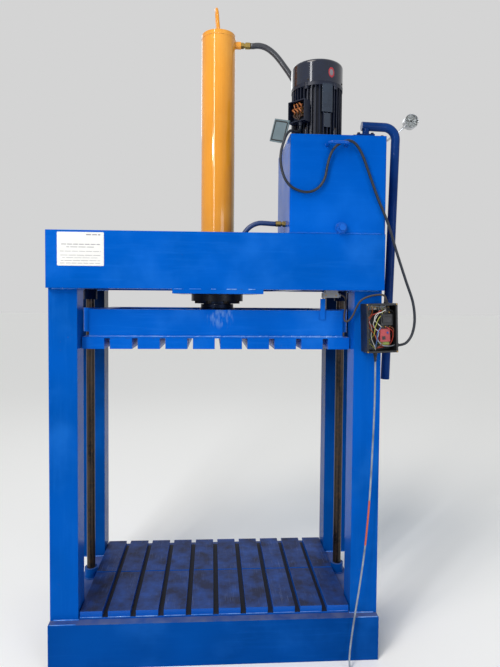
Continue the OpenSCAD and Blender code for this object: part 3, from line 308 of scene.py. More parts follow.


# Base, head and columns
# Rolled steel channels and square box columns, welded together and brushed with blue enamel: it shows brush
# marks with a pale painted sheen on them, rounded and chipped edges, rust flecks, settled dust, and glossy
# beads whose pale tone is a painted glint. The base and the upper part of the rear columns are darker as
# painted shade.
def enamel(name, base, deep, pale, rough=0.2, dust=0.3, rust=0.4, brush=(16, 16, 1), depth=0.2, coat=0.0,
           streaks=0.2):
    """Brushed enamel: tones over 420 and 240 mm, brush marks of 15 and 4 mm with a pale painted sheen on
    them, chips, flecks and dust.
    """
    material, tree, shader, place = begin(name)
    wide = add(tree, "TexNoise", {"Vector": place, "Scale": 1000 / 420, "Detail": 2.0})
    wide = add(tree, "MapRange", {0: wide, 1: 0.35, 2: 0.7})
    tone = add(tree, "Mix", {0: wide, 6: base, 7: deep}, out=2, data_type="RGBA")
    patch = add(tree, "TexNoise", {"Vector": place, "Scale": 1000 / 240, "Detail": 6.0})
    patch = add(tree, "MapRange", {0: patch, 1: 0.45, 2: 0.8, 4: 0.6}, interpolation_type="SMOOTHSTEP")
    tone = add(tree, "Mix", {0: patch, 6: tone, 7: pale}, out=2, data_type="RGBA")
    # The pale tone laid along the 15 mm brush marks is painted sheen on the brushed paint.
    laid = add(tree, "Mapping", {"Vector": place, "Scale": [1000 / 15 / b for b in brush]})
    laid = add(tree, "TexNoise", {"Vector": laid, "Scale": 1.0, "Detail": 4.0, "Roughness": 0.6})
    laid = add(tree, "MapRange", {0: laid, 1: 0.48, 2: 0.78, 4: streaks}, interpolation_type="SMOOTHSTEP")
    tone = add(tree, "Mix", {0: laid, 6: tone, 7: pale}, out=2, data_type="RGBA")

    rounded = add(tree, "Bevel", {"Radius": 0.0022}, samples=4)
    normal = add(tree, "NewGeometry", out="Normal")
    same = add(tree, "VectorMath", {0: rounded, 1: normal}, out="Value", operation="DOT_PRODUCT")
    edge = add(tree, "MapRange", {0: same, 1: 0.995, 2: 0.9})
    chip = add(tree, "TexNoise", {"Vector": place, "Scale": 1000 / 16, "Detail": 5.0})
    chip = add(tree, "MapRange", {0: chip, 1: 0.60, 2: 0.64})
    bare = add(tree, "Math", {0: edge, 1: chip}, operation="MULTIPLY")
    fleck = add(tree, "TexNoise", {"Vector": place, "Scale": 1000 / 7, "Detail": 4.0})
    fleck = add(tree, "MapRange", {0: fleck, 1: 0.70, 2: 0.74, 4: rust})
    zone = add(tree, "TexNoise", {"Vector": place, "Scale": 1000 / 170, "Detail": 2.0})
    zone = add(tree, "MapRange", {0: zone, 1: 0.52, 2: 0.64})
    flecks = add(tree, "Math", {0: fleck, 1: zone}, operation="MULTIPLY")
    worn = add(tree, "Math", {0: bare, 1: flecks}, operation="MAXIMUM")
    rusty = add(tree, "Mix", {0: chip, 6: "#6e4a30", 7: "#38261c"}, out=2, data_type="RGBA")
    tone = add(tree, "Mix", {0: worn, 6: tone, 7: rusty}, out=2, data_type="RGBA")

    up = add(tree, "SeparateXYZ", {0: normal}, out=2)
    flat = add(tree, "MapRange", {0: up, 1: 0.6, 2: 0.95}, interpolation_type="SMOOTHSTEP")
    settled = add(tree, "TexNoise", {"Vector": place, "Scale": 1000 / 60, "Detail": 5.0})
    settled = add(tree, "MapRange", {0: settled, 1: 0.25, 2: 0.75, 3: 0.2 * dust, 4: dust})
    film = add(tree, "Math", {0: flat, 1: settled}, operation="MULTIPLY")
    tone = add(tree, "Mix", {0: film, 6: tone, 7: "#8b867e"}, out=2, data_type="RGBA")

    sheen = add(tree, "TexNoise", {"Vector": place, "Scale": 1000 / 130, "Detail": 4.0})
    sheen = add(tree, "MapRange", {0: sheen, 1: 0.3, 2: 0.8, 3: rough - 0.04, 4: rough + 0.14})
    dull = add(tree, "Math", {0: worn, 1: film}, operation="MAXIMUM")
    strokes = add(tree, "Mapping", {"Vector": place, "Scale": [1000 / 4 / b for b in brush]})
    strokes = add(tree, "TexNoise", {"Vector": strokes, "Scale": 1.0, "Detail": 2.0})
    waves = add(tree, "TexNoise", {"Vector": place, "Scale": 1000 / 34, "Detail": 2.0})
    height = add(tree, "Math", {0: waves, 1: 1.8, 2: strokes}, operation="MULTIPLY_ADD")
    height = add(tree, "Math", {0: worn, 1: -1.5, 2: height}, operation="MULTIPLY_ADD")
    connect(tree, shader, {
        "Base Color": tone,
        "Roughness": add(tree, "Math", {0: dull, 1: 0.45, 2: sheen}, operation="MULTIPLY_ADD"),
        "Specular IOR Level": 0.05,
        "Specular Tint": deep,
        "Coat Weight": coat,
        "Coat Roughness": 0.08,
        "Normal": add(tree, "Bump", {"Height": height, "Distance": depth / 1000, "Normal": rounded}),
    })
    return material


beam_paint = enamel("blue_enamel_on_beams", "#0354b4", "#014a9e", "#1c69c6")
# The base's enamel is set deeper than the beams' as painted shade low on the press.
base_paint = enamel("blue_enamel_on_base", "#034594", "#023a80", "#1458ac", dust=0.4)
column_paint = enamel("blue_enamel_on_columns", "#0453b0", "#02499b", "#1a64bb", rough=0.16,
                      brush=(1, 1, 16))
# The beads' pale tones are painted glints; their coat is real gloss.
glint_bead_paint = enamel("blue_enamel_on_beads_with_painted_glints", "#2f7ad2", "#1460bd", "#9cc4f0", rough=0.12, coat=1.0)
dress(base_paint, "blue_paint", "base_front_beam", "base_rear_beam", "base_cross_beams")
dress(beam_paint, "blue_paint", "head_front_beam", "head_rear_beam", "head_cross_beams",
      "cylinder_mount_plate")
dress(column_paint, "blue_paint", "front_columns")


def painted(material):
    """The tree, shader, colour and object coordinates of a finished enamel, for one more layer on it."""
    tree = material.node_tree
    shader = tree.nodes["Principled BSDF"]
    paint = shader.inputs["Base Color"].links[0].from_socket
    return tree, shader, paint, add(tree, "TexCoord", out="Object")


def shade_darkened_enamel(name):
    """Blue enamel set deeper, and darkened as painted shade from 1 m up to the head, uneven over 90 mm."""
    material = enamel(name, "#03458f", "#023a80", "#1156a8", rough=0.16, brush=(1, 1, 16))
    tree, shader, paint, place = painted(material)
    height = add(tree, "SeparateXYZ", {0: place}, out=2)
    wander = add(tree, "TexNoise", {"Vector": place, "Scale": 1000 / 90, "Detail": 4.0})
    height = add(tree, "Math", {0: wander, 1: 0.3, 2: height}, operation="MULTIPLY_ADD")
    # This film is painted shade, darkest under the head.
    film = add(tree, "MapRange", {0: height, 1: 1.0, 2: 1.75, 4: 0.9}, interpolation_type="SMOOTHSTEP")
    tone = add(tree, "Mix", {0: film, 6: paint, 7: "#070b13"}, out=2, data_type="RGBA")
    connect(tree, shader, {"Base Color": tone})
    return material


shade_darkened_paint = shade_darkened_enamel("blue_enamel_darkened_as_shade")
dress(shade_darkened_paint, "blue_paint", "rear_columns")


def node_box(name):
    """Lowest and highest corners of a node of the frame in millimetres, to a tenth."""
    return [np.round(1000 * np.array(corner), 1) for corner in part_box(name)]


def weld(name, route, size, body="frame"):
    """A weld bead on a route: a low tube whose radius swells with a sine of 11 mm and an uneven hand."""
    line = smooth_line(route, 3.4)
    hand = np.random.default_rng(len(line)).uniform(-0.32, 0.32, len(line) // 4 + 1).repeat(4)[:len(line)]
    return tube(name, line, size * (1 + 0.18 * np.sin(np.arange(len(line)) * 1.95) + hand), 6, body)


column_width, bead_lift = 125, 1.5
(_, column_near, base_top), (column_side, column_far, head_low) = node_box("rear_columns")
column_in, column_out = column_side - column_width, column_side - 3 * bead_lift
for side in (-1, 1):
    for row in (-1, 1):
        corners = [(column_out, column_far), (column_in, column_far), (column_in, column_near),
                   (column_out, column_near)]
        for z, end in ((base_top + bead_lift, "foot"), (head_low - bead_lift, "top")):
            line = [(side * x, row * y, z) for x, y in corners]
            line = np.vstack([np.linspace(a, b, 12)[1:] for a, b in zip(line, line[1:])])
            dress(glint_bead_paint, "blue_paint", weld("weld_at_column_%s_%d_%d" % (end, side, row), line, 3.6))

face_y = node_box("head_front_beam")[0][1]
for number, (x, run) in enumerate(((-192, 34), (-126, 52), (-30, 22), (38, 44), (134, 30))):
    route = [(x, face_y - 0.4, head_low), (x + run, face_y - 0.4, head_low)]
    dress(glint_bead_paint, "blue_paint", weld("stitch_at_mount_plate_%d" % number, route, 1.9))
for number, (x0, x1) in enumerate(((-column_out, 118 - column_out), (column_out - 92, column_out))):
    route = [(x0, face_y + 2.6, base_top + 0.6), (x1, face_y + 2.6, base_top + 0.6)]
    dress(glint_bead_paint, "blue_paint", weld("weld_on_base_edge_%d" % number, route, 2.3))


# Bed
# Two rows of ribs folded from plate on a flat plate. Bales have scoured the enamel off the top faces to a
# violet-brown film over the primer, whose dark tones are partly painted shade, with scratches along the
# ribs, and left it bright on the ends.
def scoured_enamel(name, film, dirt, scratch, least):
    """Worn enamel: tops wear in 120 mm patches to a film and dirt, with 2.4 mm scratches along Y."""
    material, tree, shader, place = begin(name)
    normal = add(tree, "NewGeometry", out="Normal")
    rounded = add(tree, "Bevel", {"Radius": 0.003}, samples=4)
    up = add(tree, "SeparateXYZ", {0: rounded}, out=2)
    up = add(tree, "MapRange", {0: up, 1: 0.9, 2: 0.995}, interpolation_type="SMOOTHSTEP")
    patch = add(tree, "TexNoise", {"Vector": place, "Scale": 1000 / 120, "Detail": 7.0, "Roughness": 0.62})
    patch = add(tree, "MapRange", {0: patch, 1: 0.30, 2: 0.62, 3: least, 4: 1.0})
    edge = add(tree, "VectorMath", {0: rounded, 1: normal}, out="Value", operation="DOT_PRODUCT")
    edge = add(tree, "MapRange", {0: edge, 1: 0.9, 2: 0.998})
    scour = add(tree, "Math", {0: up, 1: patch}, operation="MULTIPLY")
    scour = add(tree, "Math", {0: scour, 1: edge}, operation="MULTIPLY")
    blend = add(tree, "TexNoise", {"Vector": place, "Scale": 1000 / 340, "Detail": 3.0})
    film = add(tree, "Mix", {0: blend, 6: film, 7: dirt}, out=2, data_type="RGBA")
    blue = add(tree, "Mix", {0: blend, 6: "#0748a2", 7: "#1358b4"}, out=2, data_type="RGBA")
    tone = add(tree, "Mix", {0: scour, 6: blue, 7: film}, out=2, data_type="RGBA")
    drawn = add(tree, "Mapping", {"Vector": place, "Scale": (1000 / 2.4, 1000 / 110, 1000 / 2.4)})
    lines = add(tree, "TexNoise", {"Vector": drawn, "Scale": 1.0, "Detail": 2.0})
    lines = add(tree, "MapRange", {0: lines, 1: 0.60, 2: 0.70})
    few = add(tree, "TexNoise", {"Vector": place, "Scale": 1000 / 90, "Detail": 3.0})
    few = add(tree, "MapRange", {0: few, 1: 0.42, 2: 0.62, 4: 0.6})
    few = add(tree, "Math", {0: few, 1: up}, operation="MULTIPLY")
    lines = add(tree, "Math", {0: lines, 1: few}, operation="MULTIPLY")
    connect(tree, shader, {
        "Base Color": add(tree, "Mix", {0: lines, 6: tone, 7: scratch}, out=2, data_type="RGBA"),
        "Roughness": add(tree, "MapRange", {0: scour, 3: 0.22, 4: 0.5}),
        "Specular IOR Level": 0.15,
        "Normal": add(tree, "Bump", {"Height": patch, "Distance": 0.0006, "Normal": rounded}),
    })
    return material


rib_pitch, rib_half = 125, 50
(_, rib_front, _), (_, _, plate_top) = node_box("bed_plate")
# The film and dirt colours on the rib tops are set dark partly as painted shade.
dress(scoured_enamel("scoured_and_shaded_blue_enamel", "#122148", "#22253a", "#5c6b94", 0.4), "bed_paint", "bed_ribs")
# The plate between the ribs is darkened nearly to black.
dress(scoured_enamel("near_black_blue_enamel", "#070b16", "#0d1220", "#141c30", 0.95), "bed_paint", "bed_plate")
for i in range(10):
    middle = (i - 4.5) * rib_pitch
    route = [(middle - rib_half, rib_front - 1, plate_top + 1),
             (middle + rib_half, rib_front - 1, plate_top + 1)]
    dress(glint_bead_paint, "blue_paint", weld("weld_at_rib_%d" % i, route, 2.2))


# Guide rods
# Ground round steel between welded sockets, brown with old oil and rust, and darker still as painted
# shade. The follower's sleeves run on them.
def rusted_and_shaded_steel(name):
    """Oiled steel gone brown, its dark tones partly painted shade: streaks of 26 mm by 180 mm along Z,
    lighter rust in 14 mm patches.
    """
    material, tree, shader, place = begin(name)
    drawn = add(tree, "Mapping", {"Vector": place, "Scale": (1000 / 26, 1000 / 26, 1000 / 180)})
    streak = add(tree, "TexNoise", {"Vector": drawn, "Scale": 1.0, "Detail": 3.0})
    streak = add(tree, "MapRange", {0: streak, 1: 0.32, 2: 0.68})
    fleck = add(tree, "TexNoise", {"Vector": place, "Scale": 1000 / 14, "Detail": 3.0})
    fleck = add(tree, "MapRange", {0: fleck, 1: 0.45, 2: 0.8, 4: 0.7})
    # The dark streak tones are partly painted shade between the columns.
    tone = add(tree, "Mix", {0: streak, 6: "#1f1e1f", 7: "#423a33"}, out=2, data_type="RGBA")
    connect(tree, shader, {
        "Base Color": add(tree, "Mix", {0: fleck, 6: tone, 7: "#553f2b"}, out=2, data_type="RGBA"),
        "Metallic": 0.75,
        "Roughness": add(tree, "MapRange", {0: streak, 3: 0.24, 4: 0.42}),
        "Normal": add(tree, "Bump", {"Height": fleck, "Distance": 0.00008}),
    })
    return material


def ring_route(centre, radius, count=40):
    """Points of a level circle, its first point repeated at the end."""
    turn = np.arange(count + 1) * 2 * math.pi / count
    return np.stack([centre[0] + radius * np.cos(turn), centre[1] + radius * np.sin(turn),
                     np.full(count + 1, float(centre[2]))], 1)


socket_r = 33
(_, socket_near, _), (socket_side, socket_far, _) = node_box("rod_sockets")
guide_x, guide_y = socket_side - socket_r, (socket_near + socket_far) / 2
dress(rusted_and_shaded_steel("rusted_guide_rod_in_painted_shade"), "guide_steel", "guide_rods")
# The sockets and their welds take the same painted shade.
dress(shade_darkened_paint, "blue_paint", "rod_sockets")
for side in (-1, 1):
    for z, end in ((base_top + bead_lift, "low"), (head_low - bead_lift, "high")):
        route = ring_route((side * guide_x, guide_y, z), socket_r + bead_lift)
        dress(shade_darkened_paint, "blue_paint", weld("weld_at_socket_%s_%d" % (end, side), route, 3))


# Cylinder
# Honed steel tube with a welded cap, bosses and lifting loop, in glossy orange enamel laid on thickly with
# long upright strokes of the brush.
boss_r, upper_port_z, leg_y = 18, 2921, 42
(_, _, barrel_top), (barrel_r, _, cap_top) = node_box("cylinder_cap")
orange_paint = enamel("orange_enamel_on_cylinder", "#e3962a", "#d38822", "#f0b050", rough=0.14, dust=0.25,
                      rust=0.3, brush=(1, 1, 26), depth=0.16, coat=0.9)
cap_weld = weld("weld_under_cap", ring_route((0, 0, barrel_top), barrel_r - 0.6, 90), 2.2)
seat_weld = weld("weld_at_head_plate", ring_route((0, 0, head_low + bead_lift), barrel_r + 1, 90), 4)
leg_welds = [weld("weld_at_loop_leg_%d" % s, ring_route((-0.5, s * leg_y, cap_top + 0.5), 9.4, 20), 2.2)
             for s in (-1, 1)]
turn = np.arange(25) * math.pi / 12
boss_route = np.stack([barrel_r - 0.5 - 1.6 * np.sin(turn) ** 2, (boss_r + 0.8) * np.sin(turn),
                       upper_port_z + (boss_r + 0.8) * np.cos(turn)], 1)
boss_weld = weld("weld_at_upper_boss", boss_route, 2.4)
dress(orange_paint, "orange_paint", "cylinder_barrel", "cylinder_cap", "lifting_loop", cap_weld, seat_weld,
      boss_weld, *leg_welds)


# Cylinder flange, gland, rod and piston
# Turned steel discs, dark with oil, under a black flange with blackened bolts and a rubber wiper ring. The
# rod is mirror-smooth hard chrome on steel, and the piston inside is turned cast iron.
def turned(name, profile, centre, axis, body="frame", sides=32, loop=False):
    """A profile of radius and height turned round an axis: radius times cosine and sine, plus height."""
    radius, height = np.asarray(profile, float).T[:, :, None, None]
    axis = Vector(axis).normalized()
    across = np.array(axis.orthogonal().normalized())
    axis = np.array(axis)
    turn = np.arange(sides)[:, None] * 2 * math.pi / sides
    spokes = np.cos(turn) * across + np.sin(turn) * np.cross(axis, across)
    points = (np.array(centre) + radius * spokes + height * axis).reshape(-1, 3)
    return mesh_piece(name, points, ring_faces(len(profile), sides, loop), body, smooth=False)


turned_steel = machined("oiled_turned_steel", "#171c2a", "#262e40", 0.38, (1, 1, 0.2))
bolt_steel = machined("blackened_bolts", "#2c2b2c", "#3c3732", 0.45)
gland_low = node_box("rod_gland")[0][2]
wiper = turned("rod_wiper", [(46, -2.5), (68, -2.5), (72, 0), (46, 0)], (0, 0, gland_low), (0, 0, 1),
               sides=64, loop=True)
dress(satin("wiper_rubber", "#101114", "#1a1b1e", 0.55, 0.1), "black_plastic", wiper)
dress(satin("black_flange_enamel", "#070c18", "#0d1628", 0.3, 0.1, 4, gloss=0.2), "black_paint",
      "cylinder_flange")
dress(turned_steel, "gland_steel", "rod_gland", "rod_coupling")
dress(bolt_steel, "black_bolts", "flange_bolts")
dress(machined("hard_chrome", "#c9cacc", "#b4b6ba", 0.12, depth=0.004), "rod_chrome", "piston_rod")
dress(machined("turned_cast_iron", "#55565a", "#46474b", 0.45), "cast_iron", "piston")


# Follower
# Welded box of channels with folded ribs below, brushed blue. A long hand-laid bead runs on the ledge under
# each channel, and pale runs of wash water have dried on the front one.
def stained_enamel(name):
    """Blue enamel with pale dried runs, 16 mm wide and 50 mm tall, only below the rod on the front."""
    material = enamel(name, "#065bbf", "#0350ac", "#2573d0")
    tree, shader, paint, place = painted(material)
    drawn = add(tree, "Mapping", {"Vector": place, "Scale": (1000 / 16, 1000 / 60, 1000 / 50)})
    runs = add(tree, "TexNoise", {"Vector": drawn, "Scale": 1.0, "Detail": 4.0})
    runs = add(tree, "MapRange", {0: runs, 1: 0.50, 2: 0.66, 4: 0.36})
    off = add(tree, "VectorMath", {0: place, 1: (0.01, -0.279, 1.583)}, out="Value", operation="DISTANCE")
    near = add(tree, "MapRange", {0: off, 1: 0.085, 2: 0.035}, interpolation_type="SMOOTHSTEP")
    runs = add(tree, "Math", {0: runs, 1: near}, operation="MULTIPLY")
    tone = add(tree, "Mix", {0: runs, 6: paint, 7: "#7fa6cf"}, out=2, data_type="RGBA")
    connect(tree, shader, {"Base Color": tone})
    return material


(channel_left, channel_face, ledge_z), (channel_right, _, channel_top) = node_box("follower_front_channel")
follower_paint = stained_enamel("blue_enamel_on_follower")
dress(follower_paint, "blue_paint", "follower_front_channel", "follower_rear_channel",
      "follower_cross_channels", "follower_plate", "follower_ribs", "guide_sleeves", "trip_bar")
for side in (-1, 1):
    route = [(x, side * (2 - channel_face), ledge_z + bead_lift) for x in (channel_left, channel_right)]
    dress(glint_bead_paint, "blue_paint", weld("weld_on_ledge_%d" % side, route, 5, "follower"))
trip_x, trip_y, trip_z = node_box("trip_bar")[0] + (-1, 4, 1)
trip_weld = weld("weld_at_trip_bar", [(trip_x, trip_y, trip_z), (trip_x, trip_y, channel_top - 1)], 2.4,
                 "follower")
dress(follower_paint, "blue_paint", trip_weld)
coupling_weld = weld("weld_at_coupling", ring_route((0, 0, channel_top + bead_lift), 84, 80), 3, "follower")
dress(turned_steel, "gland_steel", coupling_weld)


# Oil tank
# Folded sheet box with a bolted lid, a bent handle and a drain socket, all in smoother, sprayed blue enamel.
def soften(piece, width=0.4, segments=2):
    """Rounds the sharp edges of a piece with a Bevel modifier, its width in millimetres."""
    bevel = piece.modifiers.new("rounded_edges", "BEVEL")
    bevel.width = width / 1000
    bevel.segments = segments
    bevel.limit_method = "ANGLE"
    bevel.angle_limit = math.radians(35)
    return piece


def hex_screw(name, centre, axis, width, height, body="frame"):
    """A hexagon head of that width and height on a washer, standing on the centre."""
    washer = width * 0.64
    profile = [(washer, 0), (washer, height * 0.2), (width * 0.56, height * 0.2), (width * 0.56, height)]
    return soften(turned(name, profile, centre, axis, body, sides=6), 0.5)


def upright_ring(x, z, radius):
    """Points of a circle on the tank's front, its first point repeated at the end."""
    turn = np.arange(19) * math.pi / 9
    return np.stack([x + radius * np.cos(turn), np.full(19, face_y - 0.8), z + radius * np.sin(turn)], 1)


tank_low, tank_high = node_box("tank_shell")
lid_top = node_box("motor_body")[0][2]
handle_r, handle_low, handle_high = 7, *node_box("tank_handle")
handle_x, _, handle_z = (handle_low + handle_high) / 2
handle_half = (handle_high - handle_low)[0] / 2 - handle_r
drain_low, drain_high = node_box("drain_plug")
drain_x, _, drain_z = (drain_low + drain_high) / 2
drain_r = (drain_high - drain_low)[2] / 2
tank_paint = enamel("blue_enamel_on_tank", "#0255b8", "#014ca6", "#1163c6", rough=0.18, dust=0.25, rust=0.15,
                    depth=0.1)
line = [(tank_high[0] - 4, tank_low[1]), tank_low[:2], (tank_low[0], tank_high[1]),
        tank_high[:2] - (4, 0)]
line = np.vstack([np.linspace(a, b, 30)[1:] for a, b in zip(line, line[1:])])
tank_weld = weld("weld_at_tank_foot", np.c_[line, np.full(len(line), tank_low[2] + bead_lift)], 2.8)
handle_welds = [weld("weld_at_handle_%d" % s,
                     upright_ring(handle_x + s * handle_half, handle_z, handle_r + 0.6), 2) for s in (-1, 1)]
drain_weld = weld("weld_at_drain", upright_ring(drain_x, drain_z, drain_r + 0.8), 2.2)
fitting_paint = enamel("blue_enamel_on_fittings", "#0255b8", "#014ca6", "#2c79d6", rough=0.12, dust=0.15,
                       depth=0.06, coat=0.35)
dress(tank_paint, "tank_paint", "tank_shell", "tank_lid")
dress(fitting_paint, "tank_paint", "tank_handle", "drain_plug", tank_weld, drain_weld, *handle_welds)
lid_places = [(x, y) for x in (330.5, 440, 600, 724.5) for y in (-367, 27)] + [(330.5, -170), (724.5, -290)]
for i, (x, y) in enumerate(lid_places):
    dress(bolt_steel, "black_bolts", hex_screw("lid_screw_%d" % i, (x, y, lid_top), (0, 0, 1), 13, 6.5))


# Motor
# Cast aluminium housing with deep fins, cast pads and end-shield lugs with bolts, in satin black enamel. Over
# its end sits a pressed steel fan cowl in glossy black enamel, with a plain sticker.
cowl_low, cowl_high = node_box("fan_cowl")
motor_x, motor_y = (cowl_low + cowl_high)[:2] / 2
cowl_r = (cowl_high - cowl_low)[0] / 2
fin_r, sticker_angle, sticker_z = 119, math.radians(21.5 - 90), 2684
motor_coat = satin("black_motor_enamel", "#0a1020", "#141d31", 0.36, 0.15, 8, gloss=0.35)
cowl_coat = satin("black_cowl_enamel", "#0a1020", "#141d33", 0.14, 0.15, 90, uneven=0.0, gloss=0.2,
                  coat=0.8, wet=0.14)
black_plastic = satin("black_moulding", "#141519", "#1e2024", 0.45)
dress(motor_coat, "motor_paint", "motor_body", "terminal_box")
dress(cowl_coat, "motor_paint", "fan_cowl")
dress(black_plastic, "black_plastic", "motor_fan")
dress(machined("ground_shaft", "#a7a5a0", "#8e8b85", 0.3, (1, 1, 0.2)), "guide_steel", "motor_shaft")
dress(machined("cast_pump_aluminium", "#8c8e91", "#77797c", 0.5, depth=0.1), "pump_aluminium", "oil_pump")


def round_motor(angle, radius, z):
    """A place round the motor: degrees from the front towards +X, radius and height."""
    a = math.radians(angle - 90)
    return motor_x + radius * math.cos(a), motor_y + radius * math.sin(a), z


def curved_pad(name, angle, half, low, high, inner, outer):
    """A block bent round the motor, from two radii, two heights, its angle and half its width in degrees."""
    turn = np.radians(np.linspace(angle - half, angle + half, 13) - 90)
    ring = np.stack([np.cos(turn), np.sin(turn)], 1)
    flat = np.vstack([ring * inner, ring[::-1] * outer]) + (motor_x, motor_y)
    n = len(flat)
    points = np.vstack([np.c_[flat, np.full(n, low)], np.c_[flat, np.full(n, high)]])
    walls = [[i + n, (i + 1) % n + n, (i + 1) % n, i] for i in range(n)]
    floors = [[i, i + 1, n - 2 - i, n - 1 - i] for i in range(n // 2 - 1)]
    return mesh_piece(name, points, walls + floors + [[v + n for v in f[::-1]] for f in floors],
                      smooth=False)


def cowl_oval(name, width, height, inner, lift):
    """A thin oval on the cowl: rings from its rim in to a share of its size, bent to the cowl's radius."""
    share, turn = np.meshgrid(np.linspace(1, max(inner, 0.04), 6), np.arange(40) * math.pi / 20,
                              indexing="ij")
    angle = sticker_angle + width / 2 * share * np.cos(turn) / cowl_r
    points = np.stack([motor_x + (cowl_r + lift) * np.cos(angle), motor_y + (cowl_r + lift) * np.sin(angle),
                       sticker_z + height / 2 * share * np.sin(turn)], -1)
    faces = ring_faces(6, 40)
    return mesh_piece(name, points.reshape(-1, 3), faces[:-2] + ([] if inner else faces[-1:]))


pads = [curved_pad("motor_rating_pad", 13.5, 12.5, 2505, 2634, fin_r - 12, fin_r + 2),
        curved_pad("motor_lower_pad", 13.5, 7.5, 2437, 2500, fin_r - 12, fin_r + 1)]
dress(satin("pad_enamel", "#19222f", "#283545", 0.28, 0.2, 5), "motor_paint",
      *(soften(p, 1.5) for p in pads))
for i, angle in enumerate((35, -35, 145, 215)):
    for z, height in ((2390, 40), (2612, 30)):
        lug = turned("motor_lug_%d_%d" % (i, z), [(9, 0), (9, height)], round_motor(angle, fin_r - 3, z),
                     (0, 0, 1))
        dress(motor_coat, "motor_paint", soften(lug, 1.2))
    bolt = hex_screw("motor_bolt_%d" % i, round_motor(angle, fin_r - 3, 2430), (0, 0, 1), 13, 7)
    dress(bolt_steel, "black_bolts", bolt)
for i, angle in enumerate((60, 150, 240, 330)):
    place = round_motor(angle, cowl_r - 0.6, 2652)
    screw = turned("cowl_screw_%d" % i, [(4.5, 0), (4.5, 1.6), (3.2, 2.8), (1, 3)], place,
                   (place[0] - motor_x, place[1] - motor_y, 0), sides=20)
    dress(bolt_steel, "black_bolts", screw)
dress(satin("red_sticker", "#a8323c", "#8f2a35", 0.35, 0.1), "red_plastic",
      cowl_oval("plain_sticker_rim", 31, 46, 0.62, 0.4))
dress(satin("grey_sticker", "#857f84", "#6d6a70", 0.35, 0.1), "grey_plastic",
      cowl_oval("plain_sticker_middle", 20, 30, 0, 0.3))


# Terminal box
# Open cast box with a moulded block, six studs with brass nuts, and copper-brown, varnished winding leads.
# Its cover hangs by one screw and shows its inner side, grey and dull, with the black gasket.
box_turn, box_out, box_z = math.radians(225), 142, 2456
cover_w, cover_h, screw_in, cover_lean = 92, 104, 6, math.radians(-18)
toward, along = (math.cos(box_turn), math.sin(box_turn)), (-math.sin(box_turn), math.cos(box_turn))
brass = machined("brass_nuts", "#b08d4f", "#8e7040", 0.3)
copper_lead = satin("varnished_copper_leads", "#b06a34", "#7d4420", 0.32, 0.1)
dark_lead = satin("dark_winding_sleeve", "#2a1e18", "#3d2a20", 0.5, 0.1)
dress(satin("brown_moulding", "#4a2c1a", "#3a2416", 0.5), "brown_plastic", "terminal_block")
dress(satin("grey_cover_enamel", "#6a7a80", "#54646b", 0.3), "cover_paint", "terminal_cover")


def in_terminal_box(points):
    """World places of points given from the box: out of its front, along it and up."""
    p = np.asarray(points, float)
    xy = np.outer(p[:, 0] + box_out, toward) + np.outer(p[:, 1], along) + (motor_x, motor_y)
    return np.c_[xy, p[:, 2] + box_z]


def on_cover(points):
    """World places of points on the hanging cover: out of it, and across and up from its screw."""
    p = np.asarray(points, float)
    y = p[:, 1] * math.cos(cover_lean) - p[:, 2] * math.sin(cover_lean)
    z = p[:, 1] * math.sin(cover_lean) + p[:, 2] * math.cos(cover_lean)
    return in_terminal_box(np.c_[p[:, 0] + 22, y + screw_in - 46, z + screw_in + 2])


def cover_band(name, inset, band, out, thick):
    """A flat rectangular band on the cover, an inset from its edges, with a width and a thickness."""
    y0, y1 = screw_in - cover_w + inset, screw_in - inset
    z0, z1 = screw_in - cover_h + inset, screw_in - inset
    outer = [(y0, z0), (y1, z0), (y1, z1), (y0, z1)]
    inner = [(y0 + band, z0 + band), (y1 - band, z0 + band), (y1 - band, z1 - band), (y0 + band, z1 - band)]
    faces = []
    for i in range(4):
        j = (i + 1) % 4
        faces += [[8 + i, 8 + j, 12 + j, 12 + i], [j, i, 4 + i, 4 + j], [i, j, 8 + j, 8 + i],
                  [4 + j, 4 + i, 12 + i, 12 + j]]
    return mesh_piece(name, on_cover([(out + t, *p) for t in (0, thick) for p in outer + inner]), faces,
                      smooth=False)


for i in range(-1, 2):
    for s in (-1, 1):
        y, z = i * 20, 51 + s * 10.5
        nut = turned("terminal_nut_%d_%d" % (i, s), [(5.4, 0), (5.4, 5)], in_terminal_box([(0, y, z)])[0],
                     (*toward, 0), sides=6)
        dress(brass, "zinc_fittings", soften(nut))
    reach = 14 + 3 * i
    upper = [(7, i * 20, 61), (reach, i * 20 + 3, 72), (reach - 2, i * 16 - 5, 84), (-4, i * 12 - 6, 88),
             (-15, i * 10, 84)]
    lower = [(7, i * 20, 41), (reach, i * 20 - 3, 30), (reach + 2, i * 12 + 5, 18), (9, 12 + i, 9),
             (6, 12 + i, 2)]
    bridge = [(8, i * 20, 61), (reach + 4, i * 20 - 6, 58), (reach + 4, i * 18 + 6, 46), (8, i * 20, 41)]
    for kind, route, radius, sleeve in (("winding_lead", upper, 2.9, copper_lead),
                                        ("terminal_link", bridge, 3.1, copper_lead),
                                        ("cable_core", lower, 2.4, dark_lead)):
        wire = tube("%s_%d" % (kind, i), smooth_line(in_terminal_box(route), 3), radius, 10)
        dress(sleeve, "brown_plastic", wire)
dress(satin("gasket_rubber", "#121416", "#1d2022", 0.6), "black_plastic",
      soften(cover_band("cover_gasket", 7, 5, 3, 1.6)))


# Hand valve and lever
# Cast block bolted on the lid, with a post, and a steel pipe that is bent down to the operator. Both are in
# the frame's blue gloss enamel, darkened as painted shade.
valve_x, valve_block_top = 707.5, 2430
